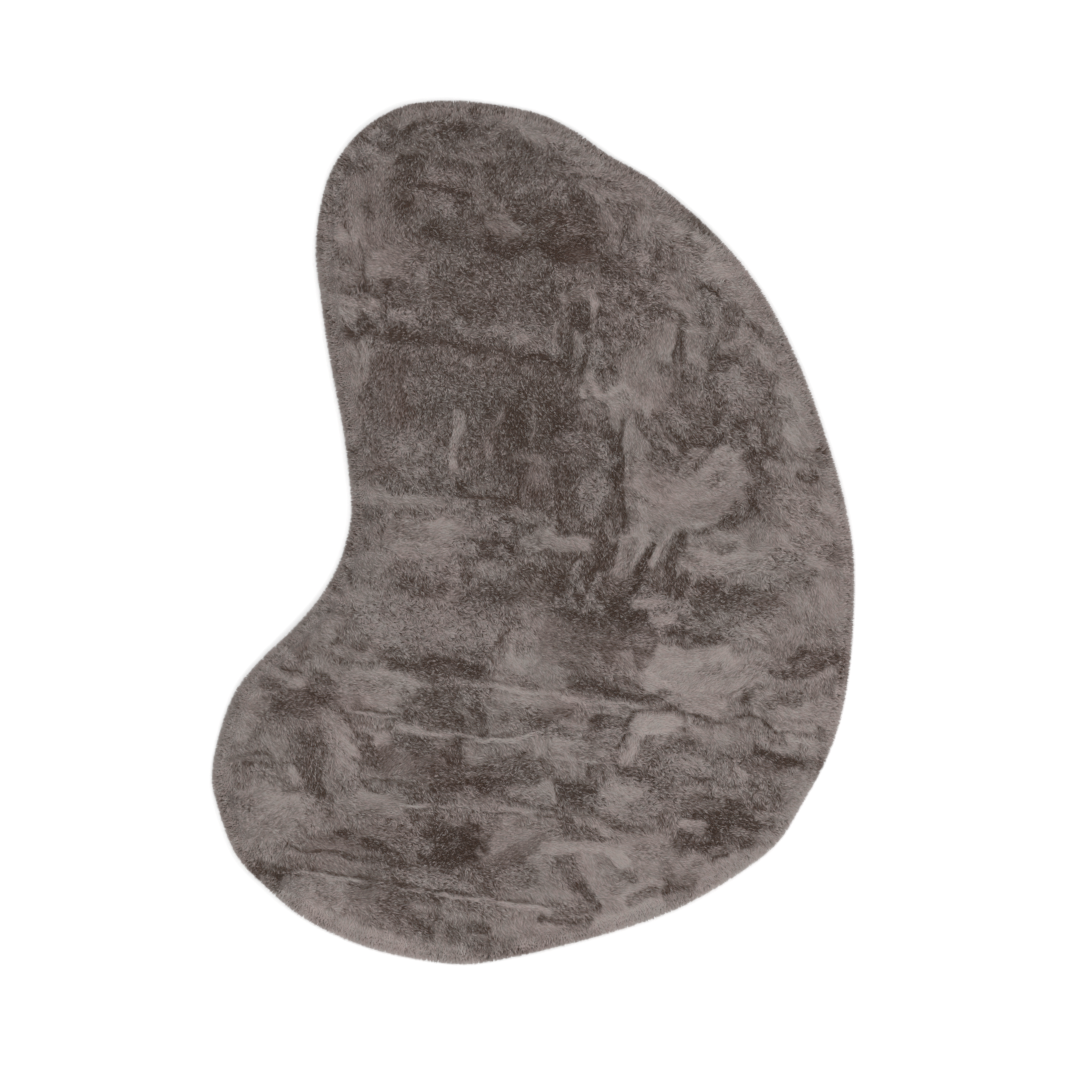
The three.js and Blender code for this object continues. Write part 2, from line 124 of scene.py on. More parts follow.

# Marks left in the pile by hands and folds, each a band between two points, laid over one another in this
# order. Columns: kind, from x, from y, to x, to y, width, strength, and where they aren't 0 the sideways bow
# and the turn of the comb away from the band's run in degrees.
# Their tones are painted light and shade, as in KINDS.
MARKS = [
    # Broad tone of the whole rug.
    ("dusky", 400, 170, 520, 330, 260, 0.45, 0, -60),
    ("dusky", 520, 220, 640, 330, 140, 0.3, 0, -60),
    ("granular", 430, 400, 430, 500, 230, 0.5),
    ("feather", 430, 560, 430, 620, 170, 0.2, 0, 20),
    ("dusky", 530, 420, 600, 580, 130, 0.45),
    ("sleek", 260, 830, 330, 900, 130, 0.45, 0, -90),
    ("sleek", 330, 760, 560, 790, 200, 0.35),
    ("sleek", 400, 935, 640, 905, 60, 0.7, 0, -90),
    ("sleek", 500, 860, 660, 890, 100, 0.6),
    ("sleek", 800, 480, 830, 640, 90, 0.6),
    ("sleek", 720, 540, 760, 720, 120, 0.4, 0, 20),
    ("sleek", 500, 720, 620, 750, 80, 0.45),
    ("feather", 640, 760, 770, 790, 110, 0.22),

    # Upper lobe.
    ("sleek", 400, 113, 556, 116, 22, 0.6, 0, 90),
    ("dusky", 474, 106, 478, 122, 10, 0.5),
    ("standing", 385, 132, 500, 131, 14, 0.22, 0, 60),
    ("standing", 448, 127, 472, 127, 12, 0.5, 0, 60),
    ("feather", 424, 130, 436, 130, 9, 0.8, 0, 40),
    ("sleek", 515, 128, 550, 132, 18, 0.4),
    ("sleek", 368, 185, 362, 245, 52, 0.75, 0, 20),
    ("brushed", 356, 224, 364, 238, 14, 0.6, 0, 20),
    ("feather", 336, 172, 330, 255, 20, 0.75, 0, -60),
    ("feather", 335, 268, 352, 272, 12, 0.7),
    ("feather", 352, 131, 374, 131, 7, 0.5, 0, 40),
    ("feather", 352, 150, 372, 149, 10, 0.8, 0, 40),
    ("sleek", 354, 196, 360, 216, 14, 0.5),
    ("dusky", 408, 160, 402, 212, 22, 0.8),
    ("standing", 404, 190, 478, 194, 10, 0.7, 4, 30),
    ("feather", 424, 178, 466, 179, 8, 0.6, 0, 30),
    ("dusky", 466, 188, 466, 212, 16, 0.75),
    ("standing", 428, 228, 470, 229, 17, 0.8, -3, 20),
    ("feather", 434, 199, 450, 209, 20, 0.65),
    ("feather", 430, 172, 446, 172, 13, 0.7),
    ("sleek", 479, 190, 506, 226, 19, 0.6),
    ("standing", 488, 242, 518, 250, 20, 0.9),
    ("sleek", 495, 216, 517, 235, 20, 0.85),
    ("sleek", 380, 264, 410, 270, 40, 0.75, 0, 30),
    ("line", 361, 240, 366, 296, 2.4, 0.51),
    ("line", 368, 290, 392, 283, 3.4, 0.59, -3),
    ("line", 392, 283, 417, 301, 3.4, 0.59, -4),
    ("sleek", 420, 262, 424, 298, 16, 0.8),
    ("standing", 383, 291, 410, 293, 24, 0.5, 0, 60),
    ("feather", 404, 290, 413, 298, 7, 0.8),
    ("feather", 392, 314, 412, 316, 10, 0.8),
    ("brushed", 334, 299, 358, 300, 9, 0.65, 0, 40),
    ("brushed", 341, 309, 350, 316, 13, 0.65, 0, 40),
    ("standing", 350, 328, 374, 326, 18, 0.55, 0, 60),
    ("feather", 345, 315, 356, 331, 7, 0.7),
    ("feather", 366, 307, 384, 330, 8, 0.6),
    ("standing", 388, 331, 430, 332, 10, 0.7, 0, 40),
    ("granular", 450, 285, 545, 298, 80, 0.6, 0, 20),
    ("dusky", 542, 258, 548, 298, 14, 0.55),
    ("dusky", 478, 300, 494, 308, 12, 0.4),
    ("feather", 514, 322, 516, 350, 11, 0.5),
    ("feather", 462, 326, 528, 330, 18, 0.7, 0, 10),
    ("brushed", 520, 338, 536, 342, 12, 0.6, 0, 10),
    ("brushed", 364, 299, 376, 301, 10, 0.75),
    ("sleek", 555, 300, 553, 350, 6, 0.6, 3),
    ("line", 549, 268, 546, 350, 2.9, 0.42, 3),
    ("standing", 524, 230, 568, 232, 54, 0.8, 0, 20),
    ("block", 545, 250, 583, 254, 17, 0.75, -3, 10),

    # Upper right.
    ("feather", 556, 140, 600, 160, 34, 0.6, 0, 80),
    ("feather", 625, 180, 720, 262, 60, 0.4, 0, 60),
    ("sleek", 560, 132, 675, 218, 26, 0.6, 0, 80),
    ("brushed", 675, 225, 760, 305, 36, 0.7, 0, 80),
    ("brushed", 760, 305, 815, 385, 32, 0.65, 0, 80),
    ("standing", 550, 164, 566, 168, 18, 0.6, 0, 30),
    ("dusky", 574, 172, 584, 188, 11, 0.5),
    ("sleek", 582, 182, 600, 192, 12, 0.7, 0, 20),
    ("dusky", 568, 198, 588, 216, 24, 0.55),
    ("sleek", 598, 194, 612, 214, 13, 0.7),
    ("dusky", 606, 186, 632, 204, 20, 0.55),
    ("sleek", 634, 222, 640, 238, 12, 0.6),
    ("dusky", 690, 238, 700, 250, 13, 0.6),
    ("standing", 606, 264, 618, 266, 18, 0.5, 0, 40),
    ("brushed", 608, 212, 615, 240, 15, 0.7, 2),
    ("feather", 612, 246, 620, 250, 8, 0.7),
    ("feather", 642, 246, 643, 270, 13, 0.85),
    ("standing", 657, 244, 657, 260, 9, 0.5),
    ("sleek", 660, 266, 668, 282, 15, 0.75),
    ("brushed", 664, 292, 688, 312, 28, 0.8),
    ("dusky", 670, 325, 692, 323, 9, 0.6),
    ("sleek", 658, 330, 648, 352, 24, 0.7),
    ("sleek", 650, 358, 642, 390, 42, 0.45),
    ("sleek", 694, 326, 698, 352, 14, 0.65),
    ("granular", 612, 296, 648, 300, 40, 0.65, 0, 30),
    ("feather", 627, 318, 643, 318, 13, 0.65),
    ("feather", 604, 283, 642, 284, 12, 0.45),
    ("dusky", 604, 334, 622, 340, 20, 0.5),
    ("feather", 599, 340, 601, 352, 8, 0.8),
    ("line", 676, 338, 675, 398, 3.4, 0.72),
    ("line", 682, 340, 682, 398, 2.9, 0.68),
    ("feather", 702, 268, 740, 276, 20, 0.65, 0, 60),
    ("sleek", 730, 256, 756, 290, 24, 0.75, 0, 60),
    ("granular", 750, 318, 780, 350, 40, 0.35, 0, 40),
    ("sleek", 776, 316, 800, 352, 20, 0.45, 0, 70),
    ("brushed", 746, 334, 768, 356, 17, 0.6),
    ("sleek", 690, 272, 724, 270, 12, 0.5),
    ("brown", 572, 256, 590, 256, 12, 0.8),
    ("granular", 702, 300, 708, 318, 26, 0.5, 0, 30),
    ("feather", 700, 295, 720, 300, 13, 0.7),
    ("sleek", 716, 308, 717, 344, 10, 0.5),
    ("line", 685, 290, 702, 283, 3.9, 0.68, -2),
    ("line", 702, 283, 720, 299, 3.9, 0.68, 2),
    ("line", 716, 346, 744, 354, 3.4, 0.64, -4),
    ("line", 718, 356, 740, 362, 2.9, 0.51, -3),
    ("standing", 712, 363, 736, 361, 12, 0.6),
    ("feather", 742, 341, 754, 339, 9, 0.8),
    ("dusky", 578, 302, 580, 344, 20, 0.85),
    ("sleek", 570, 330, 568, 350, 12, 0.65),
    ("standing", 575, 307, 582, 326, 12, 0.8),
    ("sleek", 577, 334, 577, 352, 10, 0.6),
    ("standing", 566, 352, 568, 374, 12, 0.55),
    ("brushed", 580, 276, 593, 300, 12, 0.6),
    ("sleek", 595, 270, 594, 298, 11, 0.7),
    ("brushed", 593, 300, 592, 352, 6, 0.8),
    ("sleek", 589, 352, 585, 380, 8, 0.75),
    ("line", 586, 328, 582, 374, 2.9, 0.59),
    ("sleek", 563, 285, 554, 345, 5, 0.5),
    ("line", 568, 285, 560, 345, 2.9, 0.42),
    ("feather", 545, 332, 552, 350, 12, 0.6),
    ("line", 566, 292, 567, 368, 3.4, 0.59, 5),
    ("line", 588, 350, 583, 376, 2.9, 0.59),

    # Left of the middle.
    ("standing", 341, 336, 460, 344, 7, 0.75, 0, 10),
    ("standing", 460, 345, 540, 358, 8, 0.6, 0, 10),
    ("standing", 540, 358, 572, 370, 7, 0.8, 0, 10),
    ("sleek", 410, 352, 480, 360, 8, 0.3, 0, 10),
    ("brushed", 362, 350, 362, 374, 18, 0.55, 0, 20),
    ("sleek", 326, 262, 340, 350, 20, 0.5, 0, 60),
    ("sleek", 346, 346, 351, 436, 16, 0.7, 0, 60),
    ("brown", 395, 366, 395, 410, 34, 0.8),
    ("granular", 425, 382, 512, 386, 32, 0.55),
    ("dusky", 535, 412, 560, 430, 42, 0.8),
    ("dusky", 510, 394, 576, 396, 18, 0.5),
    ("dusky", 496, 404, 500, 444, 14, 0.4),
    ("dusky", 412, 411, 436, 418, 13, 0.35),
    ("standing", 512, 418, 516, 436, 24, 0.85),
    ("feather", 400, 448, 440, 462, 44, 0.6, 0, 20),
    ("brushed", 460, 412, 460, 432, 14, 0.7),
    ("sleek", 458, 432, 452, 462, 9, 0.7),
    ("brushed", 453, 462, 453, 478, 10, 0.7),
    ("brown", 502, 408, 482, 452, 13, 0.6),
    ("sleek", 503, 408, 494, 424, 4, 0.5),
    ("sleek", 484, 442, 488, 454, 8, 0.4),
    ("sleek", 533, 402, 533, 440, 3, 0.5),
    ("brown", 366, 467, 390, 467, 20, 0.6, 0, 30),
    ("dusky", 424, 481, 466, 488, 12, 0.75),
    ("standing", 566, 474, 567, 502, 13, 0.75),
    ("brown", 535, 464, 537, 490, 26, 0.6),
    ("sleek", 532, 462, 540, 484, 15, 0.35),
    ("standing", 560, 470, 562, 512, 20, 0.6),
    ("sleek", 516, 457, 550, 462, 13, 0.5),
    ("sleek", 468, 482, 490, 484, 7, 0.6),
    ("line", 519, 470, 520, 503, 3.4, 0.64),
    ("ridge", 354, 494, 386, 495, 5.5, 0.9),
    ("sleek", 388, 499, 438, 502, 11, 0.8),
    ("standing", 440, 487, 518, 503, 8, 0.7),
    ("line", 440, 492, 518, 501, 3.4, 0.68),
    ("sleek", 398, 536, 448, 530, 40, 0.8, 0, 20),
    ("sleek", 404, 554, 440, 556, 14, 0.6, 0, 20),
    ("dusky", 458, 540, 472, 570, 15, 0.5),
    ("brushed", 434, 528, 452, 532, 20, 0.5, 0, 20),
    ("standing", 474, 552, 508, 552, 20, 0.75),
    ("dusky", 402, 584, 426, 588, 20, 0.6),
    ("brown", 432, 590, 450, 590, 16, 0.6),
    ("sleek", 356, 566, 384, 562, 22, 0.55),
    ("feather", 424, 565, 450, 574, 18, 0.65),
    ("standing", 530, 574, 565, 578, 24, 0.6, 0, 20),
    ("brushed", 528, 542, 588, 546, 17, 0.72),
    ("brushed", 540, 530, 552, 532, 8, 0.7),
    ("standing", 592, 546, 598, 558, 10, 0.7),
    ("brushed", 538, 536, 560, 542, 12, 0.4),
    ("sleek", 482, 566, 502, 570, 16, 0.5),
    ("standing", 458, 594, 482, 600, 13, 0.6),
    ("dusky", 345, 572, 345, 590, 11, 0.75),
    ("sleek", 352, 590, 372, 594, 16, 0.55),
    ("dusky", 602, 450, 598, 514, 44, 0.7),
    ("standing", 612, 452, 614, 516, 15, 0.7),
    ("feather", 562, 440, 594, 440, 17, 0.65),
    ("brushed", 592, 403, 612, 411, 16, 0.65),
    ("feather", 594, 482, 595, 506, 26, 0.95, 0, 30),

    # Right of the middle.
    ("brushed", 582, 392, 612, 391, 15, 0.85),
    ("sleek", 616, 386, 662, 388, 44, 0.6, 0, -60),
    ("brushed", 600, 388, 622, 396, 28, 0.75),
    ("sleek", 655, 430, 690, 425, 70, 0.35, 0, -50),
    ("brushed", 632, 408, 636, 474, 28, 0.6),
    ("dusky", 704, 424, 745, 430, 40, 0.65),
    ("standing", 757, 450, 774, 452, 16, 0.5),
    ("feather", 752, 428, 756, 444, 11, 0.65),
    ("feather", 728, 380, 748, 382, 34, 0.75, 0, 30),
    ("line", 712, 366, 716, 400, 3.4, 0.51, -4),
    ("line", 716, 401, 758, 403, 3.4, 0.51, -3),
    ("standing", 677, 372, 684, 394, 10, 0.6),
    ("dusky", 676, 398, 690, 408, 13, 0.6),
    ("dusky", 708, 365, 728, 362, 12, 0.6),
    ("feather", 676, 412, 687, 418, 18, 0.75),
    ("brushed", 790, 392, 808, 448, 28, 0.65, 0, 50),
    ("brushed", 652, 488, 724, 494, 76, 0.64, -6),
    ("bright", 708, 458, 728, 464, 24, 0.35),
    ("dusky", 680, 456, 700, 448, 14, 0.8),
    ("bright", 716, 458, 738, 456, 18, 0.5),
    ("granular", 709, 484, 724, 474, 9, 0.45),
    ("sleek", 634, 474, 700, 488, 6, 0.7, -5),
    ("granular", 634, 497, 652, 508, 5, 0.6),
    ("line", 621, 420, 622, 470, 4.4, 0.72),
    ("line", 622, 470, 625, 524, 4.4, 0.72),
    ("dusky", 636, 423, 650, 446, 5, 0.6),
    ("dusky", 651, 440, 656, 462, 8, 0.7),
    ("standing", 659, 432, 680, 470, 8, 0.8, -3),
    ("line", 662, 420, 694, 450, 3.4, 0.59, -6),
    ("sleek", 660, 430, 676, 452, 8, 0.6),
    ("standing", 672, 426, 690, 452, 7, 0.6),
    ("dusky", 690, 442, 712, 444, 9, 0.7),
    ("standing", 752, 456, 760, 478, 15, 0.75, -2),
    ("standing", 766, 486, 758, 504, 16, 0.85),
    ("standing", 756, 508, 728, 523, 19, 0.9),
    ("dusky", 722, 528, 698, 535, 9, 0.65),
    ("dusky", 764, 458, 798, 458, 8, 0.5),
    ("standing", 817, 448, 825, 452, 9, 0.8),
    ("standing", 802, 475, 814, 477, 11, 0.8),
    ("sleek", 790, 510, 832, 552, 56, 0.6),
    ("sleek", 834, 452, 846, 540, 18, 0.6, 0, 80),
    ("brushed", 808, 512, 834, 508, 32, 0.55),
    ("dusky", 831, 548, 838, 561, 13, 0.85),
    ("brushed", 638, 540, 622, 566, 25, 0.85),
    ("brushed", 622, 538, 650, 538, 11, 0.7),
    ("standing", 656, 540, 640, 576, 7, 0.8),
    ("standing", 630, 586, 646, 562, 13, 0.65),
    ("brushed", 646, 530, 649, 544, 8, 0.75),
    ("standing", 612, 534, 586, 600, 15, 0.7),
    ("standing", 682, 536, 664, 592, 11, 0.8),
    ("brushed", 670, 526, 652, 566, 8, 0.85),
    ("brushed", 692, 558, 770, 564, 24, 0.8, 0, 20),
    ("brushed", 690, 552, 706, 550, 10, 0.7, 0, 20),
    ("bright", 716, 566, 742, 564, 13, 0.5, 0, 10),
    ("sleek", 760, 555, 826, 556, 26, 0.65, 0, 20),
    ("standing", 698, 592, 752, 594, 18, 0.75, 0, 30),
    ("standing", 700, 582, 722, 582, 9, 0.6),
    ("feather", 722, 588, 730, 592, 8, 0.8),
    ("feather", 764, 578, 768, 590, 6, 0.8),
    ("standing", 674, 582, 680, 597, 9, 0.8),
    ("standing", 788, 580, 812, 572, 9, 0.8),
    ("standing", 570, 604, 636, 608, 46, 0.8, 0, 30),
    ("feather", 600, 576, 584, 611, 6, 0.8),
    ("feather", 580, 563, 566, 598, 7, 0.8),
    ("feather", 636, 598, 662, 598, 17, 0.9),
    ("feather", 668, 606, 688, 606, 11, 0.85),
    ("brushed", 634, 604, 650, 603, 10, 0.7),

    # Left, below the middle.
    ("sleek", 345, 592, 358, 604, 18, 0.6),
    ("standing", 484, 590, 506, 597, 18, 0.75, 0, 30),
    ("sleek", 322, 600, 236, 682, 30, 0.8, 0, -70),
    ("brushed", 312, 642, 338, 616, 24, 0.6, 0, -60),
    ("feather", 366, 610, 392, 634, 36, 0.9, 0, 20),
    ("feather", 444, 604, 448, 636, 12, 0.5),
    ("feather", 412, 622, 474, 632, 46, 0.75, 0, 30),
    ("feather", 492, 612, 488, 640, 22, 0.55, 0, 40),
    ("sleek", 528, 606, 520, 680, 46, 0.75, 0, 60),
    ("brushed", 524, 630, 510, 680, 26, 0.6, 0, 60),
    ("line", 510, 606, 508, 632, 3.4, 0.55),
    ("line", 508, 632, 486, 656, 3.4, 0.51),
    ("sleek", 400, 652, 470, 656, 9, 0.35),
    ("brown", 340, 650, 380, 650, 20, 0.6),
    ("sleek", 345, 684, 455, 690, 40, 0.6),
    ("brushed", 350, 686, 412, 692, 40, 0.6),
    ("standing", 392, 664, 430, 671, 11, 0.75, 0, 10),
    ("feather", 388, 649, 412, 655, 9, 0.75),
    ("standing", 430, 663, 476, 671, 17, 0.9, 0, 10),
    ("sleek", 252, 690, 300, 656, 30, 0.6, 0, -60),
    ("brown", 305, 638, 298, 664, 9, 0.8),
    ("feather", 284, 644, 290, 658, 13, 0.75),
    ("sleek", 316, 650, 322, 678, 15, 0.75),
    ("sleek", 240, 690, 218, 780, 32, 0.8, 0, -60),
    ("brushed", 240, 738, 252, 718, 20, 0.6, 0, -60),
    ("dusky", 284, 698, 326, 698, 20, 0.6, 0, 20),
    ("brown", 296, 696, 330, 698, 22, 0.5, 0, 20),
    ("line", 276, 666, 314, 683, 2.9, 0.64, 3),
    ("standing", 312, 693, 326, 694, 14, 0.8),
    ("sleek", 328, 667, 354, 668, 10, 0.6),
    ("dusky", 262, 708, 302, 707, 22, 0.7, 0, 20),
    ("brushed", 282, 681, 300, 685, 11, 0.8),
    ("dusky", 304, 742, 324, 798, 27, 0.85),
    ("line", 232, 757, 272, 753, 3.9, 0.64, 3),
    ("sleek", 330, 716, 346, 724, 20, 0.8),
    ("brushed", 338, 742, 352, 762, 26, 0.9),
    ("feather", 346, 774, 352, 794, 26, 0.6),
    ("line", 350, 716, 362, 742, 2.9, 0.59, -2),
    ("line", 363, 746, 362, 770, 2.9, 0.59),
    ("bright", 340, 742, 352, 750, 14, 0.6, 0, 20),
    ("standing", 366, 750, 376, 764, 13, 0.6, 0, 20),
    ("brushed", 362, 738, 384, 742, 13, 0.75),
    ("sleek", 366, 776, 386, 774, 8, 0.6),
    ("feather", 384, 794, 410, 797, 10, 0.6),
    ("sleek", 350, 710, 380, 711, 7, 0.6),
    ("brown", 388, 760, 426, 764, 32, 0.85, 0, 60),
    ("dusky", 432, 744, 462, 740, 14, 0.5),
    ("dusky", 434, 770, 446, 796, 22, 0.75, 0, 30),
    ("standing", 428, 704, 464, 714, 38, 0.75, 0, 30),
    ("feather", 461, 698, 470, 702, 12, 0.85),
    ("sleek", 490, 702, 508, 712, 20, 0.75, 0, 20),
    ("granular", 508, 720, 540, 728, 16, 0.45),
    ("line", 354, 709, 404, 716, 2.9, 0.59),
    ("ridge", 358, 712, 396, 717, 3, 0.9, -2),
    ("brushed", 400, 726, 452, 737, 11, 0.8),
    ("ridge", 448, 736, 480, 739, 4, 0.7),
    ("ridge", 478, 738, 526, 738, 4.5, 0.9),
    ("ridge", 526, 738, 560, 725, 4, 0.85),
    ("line", 480, 733, 526, 734, 2.4, 0.51),
    ("line", 562, 734, 600, 738, 2.4, 0.64),
    ("line", 600, 738, 628, 738, 2.4, 0.59),
    ("sleek", 556, 746, 612, 749, 18, 0.75),
    ("ridge", 552, 759, 612, 762, 3, 0.8),
    ("line", 612, 764, 642, 768, 3.4, 0.64),
    ("brown", 438, 760, 470, 782, 34, 0.6, 0, 20),
    ("standing", 470, 782, 522, 763, 25, 0.9, 0, 20),
    ("standing", 440, 786, 486, 786, 10, 0.6, 0, 20),
    ("sleek", 468, 757, 494, 759, 13, 0.8),
    ("dusky", 416, 792, 426, 824, 34, 0.75, 0, 20),
    ("sleek", 538, 742, 538, 764, 12, 0.6),
    ("feather", 255, 770, 271, 772, 10, 0.75),
    ("dusky", 248, 762, 300, 762, 8, 0.5),
    ("dusky", 284, 788, 316, 790, 10, 0.5),
    ("brushed", 291, 766, 296, 782, 10, 0.65),
    ("line", 372, 779, 408, 784, 2.9, 0.59),
    ("line", 362, 784, 372, 793, 2.9, 0.59),
    ("line", 372, 793, 404, 805, 2.9, 0.64, 3),
    ("brushed", 358, 794, 380, 801, 8, 0.75),
    ("ridge", 396, 806, 430, 805, 3, 0.8, -2),
    ("ridge", 430, 804, 498, 811, 3, 0.9),
    ("dusky", 228, 784, 236, 828, 20, 0.6),
    ("brushed", 245, 805, 314, 806, 36, 0.8, 0, 70),
    ("sleek", 250, 832, 294, 832, 26, 0.6, 0, 60),
    ("dusky", 320, 792, 327, 814, 14, 0.7),
    ("dusky", 300, 822, 304, 838, 11, 0.5),
    ("dusky", 252, 858, 290, 884, 12, 0.4),
    ("sleek", 345, 802, 394, 806, 22, 0.7, 0, 20),
    ("brown", 318, 842, 400, 838, 24, 0.7),
    ("standing", 341, 832, 351, 834, 9, 0.7),
    ("granular", 390, 836, 424, 840, 30, 0.6),
    ("standing", 368, 842, 400, 858, 12, 0.8),
    ("line", 289, 846, 340, 853, 3.4, 0.68),
    ("standing", 340, 854, 402, 864, 7, 0.8),
    ("standing", 400, 864, 440, 867, 10, 0.75),
    ("standing", 442, 842, 466, 846, 46, 0.9, 0, 60),
    ("block", 468, 834, 475, 852, 28, 0.9, 0, 60),
    ("sleek", 504, 834, 540, 850, 40, 0.6, 0, 60),
    ("standing", 256, 872, 285, 880, 18, 0.9, 0, 30),

    # Bottom.
    ("brushed", 300, 891, 334, 895, 30, 0.85, 0, 60),
    ("brown", 356, 890, 402, 897, 24, 0.75, 0, 60),
    ("standing", 380, 905, 400, 909, 14, 0.75),
    ("dusky", 388, 913, 436, 918, 14, 0.65),
    ("sleek", 445, 907, 500, 912, 16, 0.4),
    ("sleek", 506, 930, 562, 926, 14, 0.5),
    ("sleek", 290, 900, 330, 920, 16, 0.5, 0, -80),
    ("dusky", 424, 930, 474, 942, 20, 0.55),
    ("brown", 352, 904, 396, 916, 18, 0.5),
    ("brushed", 335, 932, 465, 958, 24, 0.75, 0, -80),
    ("standing", 473, 927, 485, 930, 12, 0.65),
    ("standing", 486, 940, 495, 943, 10, 0.65),
    ("brown", 474, 950, 490, 954, 13, 0.6),
    ("brown", 290, 862, 400, 875, 15, 0.5),
    ("granular", 400, 880, 520, 876, 28, 0.55),
    ("line", 256, 860, 296, 870, 2.9, 0.64),
    ("line", 362, 878, 404, 883, 2.9, 0.64),
    ("ridge", 364, 883, 436, 891, 2.5, 0.6),
    ("line", 296, 869, 362, 878, 2.9, 0.64),
    ("ridge", 294, 873, 364, 882, 4, 0.9),
    ("feather", 410, 877, 465, 884, 10, 0.6),
    ("line", 400, 883, 472, 894, 2.9, 0.64),
    ("dusky", 396, 894, 438, 897, 11, 0.75),
    ("sleek", 412, 868, 438, 868, 9, 0.5),
    ("feather", 440, 880, 468, 888, 13, 0.7),
    ("dusky", 458, 866, 500, 868, 8, 0.5),
    ("ridge", 436, 893, 472, 899, 4, 0.95),
    ("ridge", 472, 899, 540, 906, 4, 0.9),
    ("line", 500, 900, 560, 906, 2.4, 0.51),
    ("brushed", 500, 904, 562, 911, 5, 0.75),
    ("standing", 539, 918, 574, 922, 6, 0.85),
    ("brown", 502, 862, 542, 840, 14, 0.7),
    ("dusky", 560, 858, 578, 884, 16, 0.75),
    ("dusky", 555, 912, 576, 914, 8, 0.5),
    ("sleek", 586, 856, 597, 886, 13, 0.7),
    ("standing", 582, 886, 595, 904, 13, 0.75),
    ("brushed", 600, 921, 642, 914, 14, 0.85, 0, 60),
    ("sleek", 604, 892, 656, 888, 20, 0.65),
    ("dusky", 614, 872, 632, 878, 11, 0.7),
    ("brushed", 640, 902, 700, 888, 16, 0.6, 0, -80),
    ("sleek", 525, 945, 602, 930, 13, 0.65, 0, -70),
    ("brushed", 700, 884, 772, 846, 30, 0.9, 0, -80),
    ("sleek", 803, 790, 780, 838, 22, 0.75, 0, -80),
    ("sleek", 640, 850, 700, 868, 34, 0.5),
    ("standing", 668, 888, 690, 892, 9, 0.45, 0, 20),
    ("standing", 664, 890, 668, 903, 7, 0.8),

    # Lower middle.
    ("sleek", 516, 788, 552, 794, 22, 0.7, 0, 10),
    ("dusky", 466, 796, 500, 798, 9, 0.4),
    ("standing", 558, 790, 582, 797, 24, 0.78, 0, 30),
    ("line", 494, 796, 540, 808, 2.9, 0.68),
    ("line", 540, 808, 552, 810, 2.9, 0.68),
    ("line", 552, 810, 560, 798, 2.9, 0.59),
    ("ridge", 556, 809, 606, 818, 3, 0.8),
    ("feather", 620, 800, 652, 803, 36, 0.85, 0, 30),
    ("bright", 612, 784, 603, 806, 14, 0.8),
    ("brushed", 600, 808, 622, 809, 12, 0.8),
    ("line", 608, 776, 592, 808, 2.4, 0.51),
    ("feather", 590, 800, 604, 801, 11, 0.8),
    ("standing", 623, 772, 649, 775, 12, 0.7),
    ("granular", 664, 790, 682, 790, 24, 0.6),
    ("standing", 702, 810, 752, 822, 36, 0.85, 0, 20),
    ("standing", 722, 832, 740, 838, 30, 0.5, 0, 20),
    ("sleek", 682, 790, 698, 790, 16, 0.65),
    ("sleek", 718, 794, 738, 794, 11, 0.6),
    ("dusky", 750, 786, 752, 802, 10, 0.6),
    ("brushed", 762, 818, 780, 817, 11, 0.7),
    ("sleek", 766, 778, 796, 779, 10, 0.6),
    ("standing", 678, 843, 724, 850, 13, 0.9, 0, 10),
    ("sleek", 712, 850, 734, 847, 9, 0.6),
    ("sleek", 682, 859, 696, 858, 10, 0.6),
    ("brushed", 684, 824, 700, 825, 11, 0.85),
    ("standing", 682, 833, 712, 829, 10, 0.75),
    ("sleek", 608, 844, 642, 843, 13, 0.6),
    ("standing", 611, 822, 641, 830, 12, 0.75),
    ("granular", 765, 790, 772, 820, 30, 0.3),
    ("sleek", 761, 838, 779, 842, 16, 0.6),
    ("line", 487, 812, 560, 818, 2.4, 0.55),
    ("line", 560, 810, 606, 818, 2.9, 0.68),
    ("brushed", 498, 808, 530, 813, 7, 0.65),
    ("standing", 565, 822, 575, 833, 15, 0.8),
    ("dusky", 584, 830, 600, 838, 14, 0.75),
    ("brushed", 545, 847, 602, 846, 13, 0.7),
    ("bright", 606, 849, 623, 863, 13, 0.75),
    ("brown", 560, 648, 642, 655, 50, 0.75, 0, 30),
    ("standing", 570, 682, 594, 684, 14, 0.85),
    ("standing", 606, 692, 670, 695, 11, 0.8),
    ("sleek", 544, 668, 570, 680, 13, 0.55),
    ("feather", 654, 614, 662, 628, 16, 0.9),
    ("feather", 668, 612, 692, 606, 10, 0.75),
    ("standing", 674, 628, 688, 631, 16, 0.8),
    ("brushed", 688, 626, 700, 622, 9, 0.7),
    ("standing", 698, 642, 724, 642, 10, 0.7),
    ("dusky", 705, 606, 772, 602, 28, 0.75, 0, 20),
    ("brown", 758, 598, 782, 599, 15, 0.8),
    ("granular", 706, 630, 744, 626, 20, 0.6, 0, 30),
    ("feather", 744, 629, 762, 624, 18, 0.6),
    ("sleek", 804, 592, 840, 632, 40, 0.65),
    ("brushed", 668, 672, 738, 674, 46, 0.9, 0, 50),
    ("brushed", 738, 668, 762, 664, 24, 0.7, 0, 50),
    ("bright", 660, 676, 700, 672, 34, 0.4, 0, 40),
    ("bright", 664, 655, 690, 660, 24, 0.7),
    ("brushed", 646, 678, 662, 686, 18, 0.85),
    ("feather", 616, 670, 640, 675, 10, 0.75),
    ("line", 648, 706, 706, 703, 2.4, 0.51, -3),
    ("line", 706, 703, 764, 674, 2.4, 0.47, -3),
    ("standing", 776, 669, 800, 672, 13, 0.8),
    ("standing", 786, 668, 802, 650, 10, 0.8),
    ("standing", 804, 672, 840, 656, 13, 0.8),
    ("standing", 806, 657, 832, 650, 12, 0.6),
    ("dusky", 742, 701, 804, 700, 8, 0.6),
    ("dusky", 746, 695, 762, 692, 10, 0.6),
    ("dusky", 840, 655, 845, 676, 12, 0.8),
    ("granular", 832, 634, 848, 624, 11, 0.4),
    ("dusky", 772, 692, 802, 693, 9, 0.6),
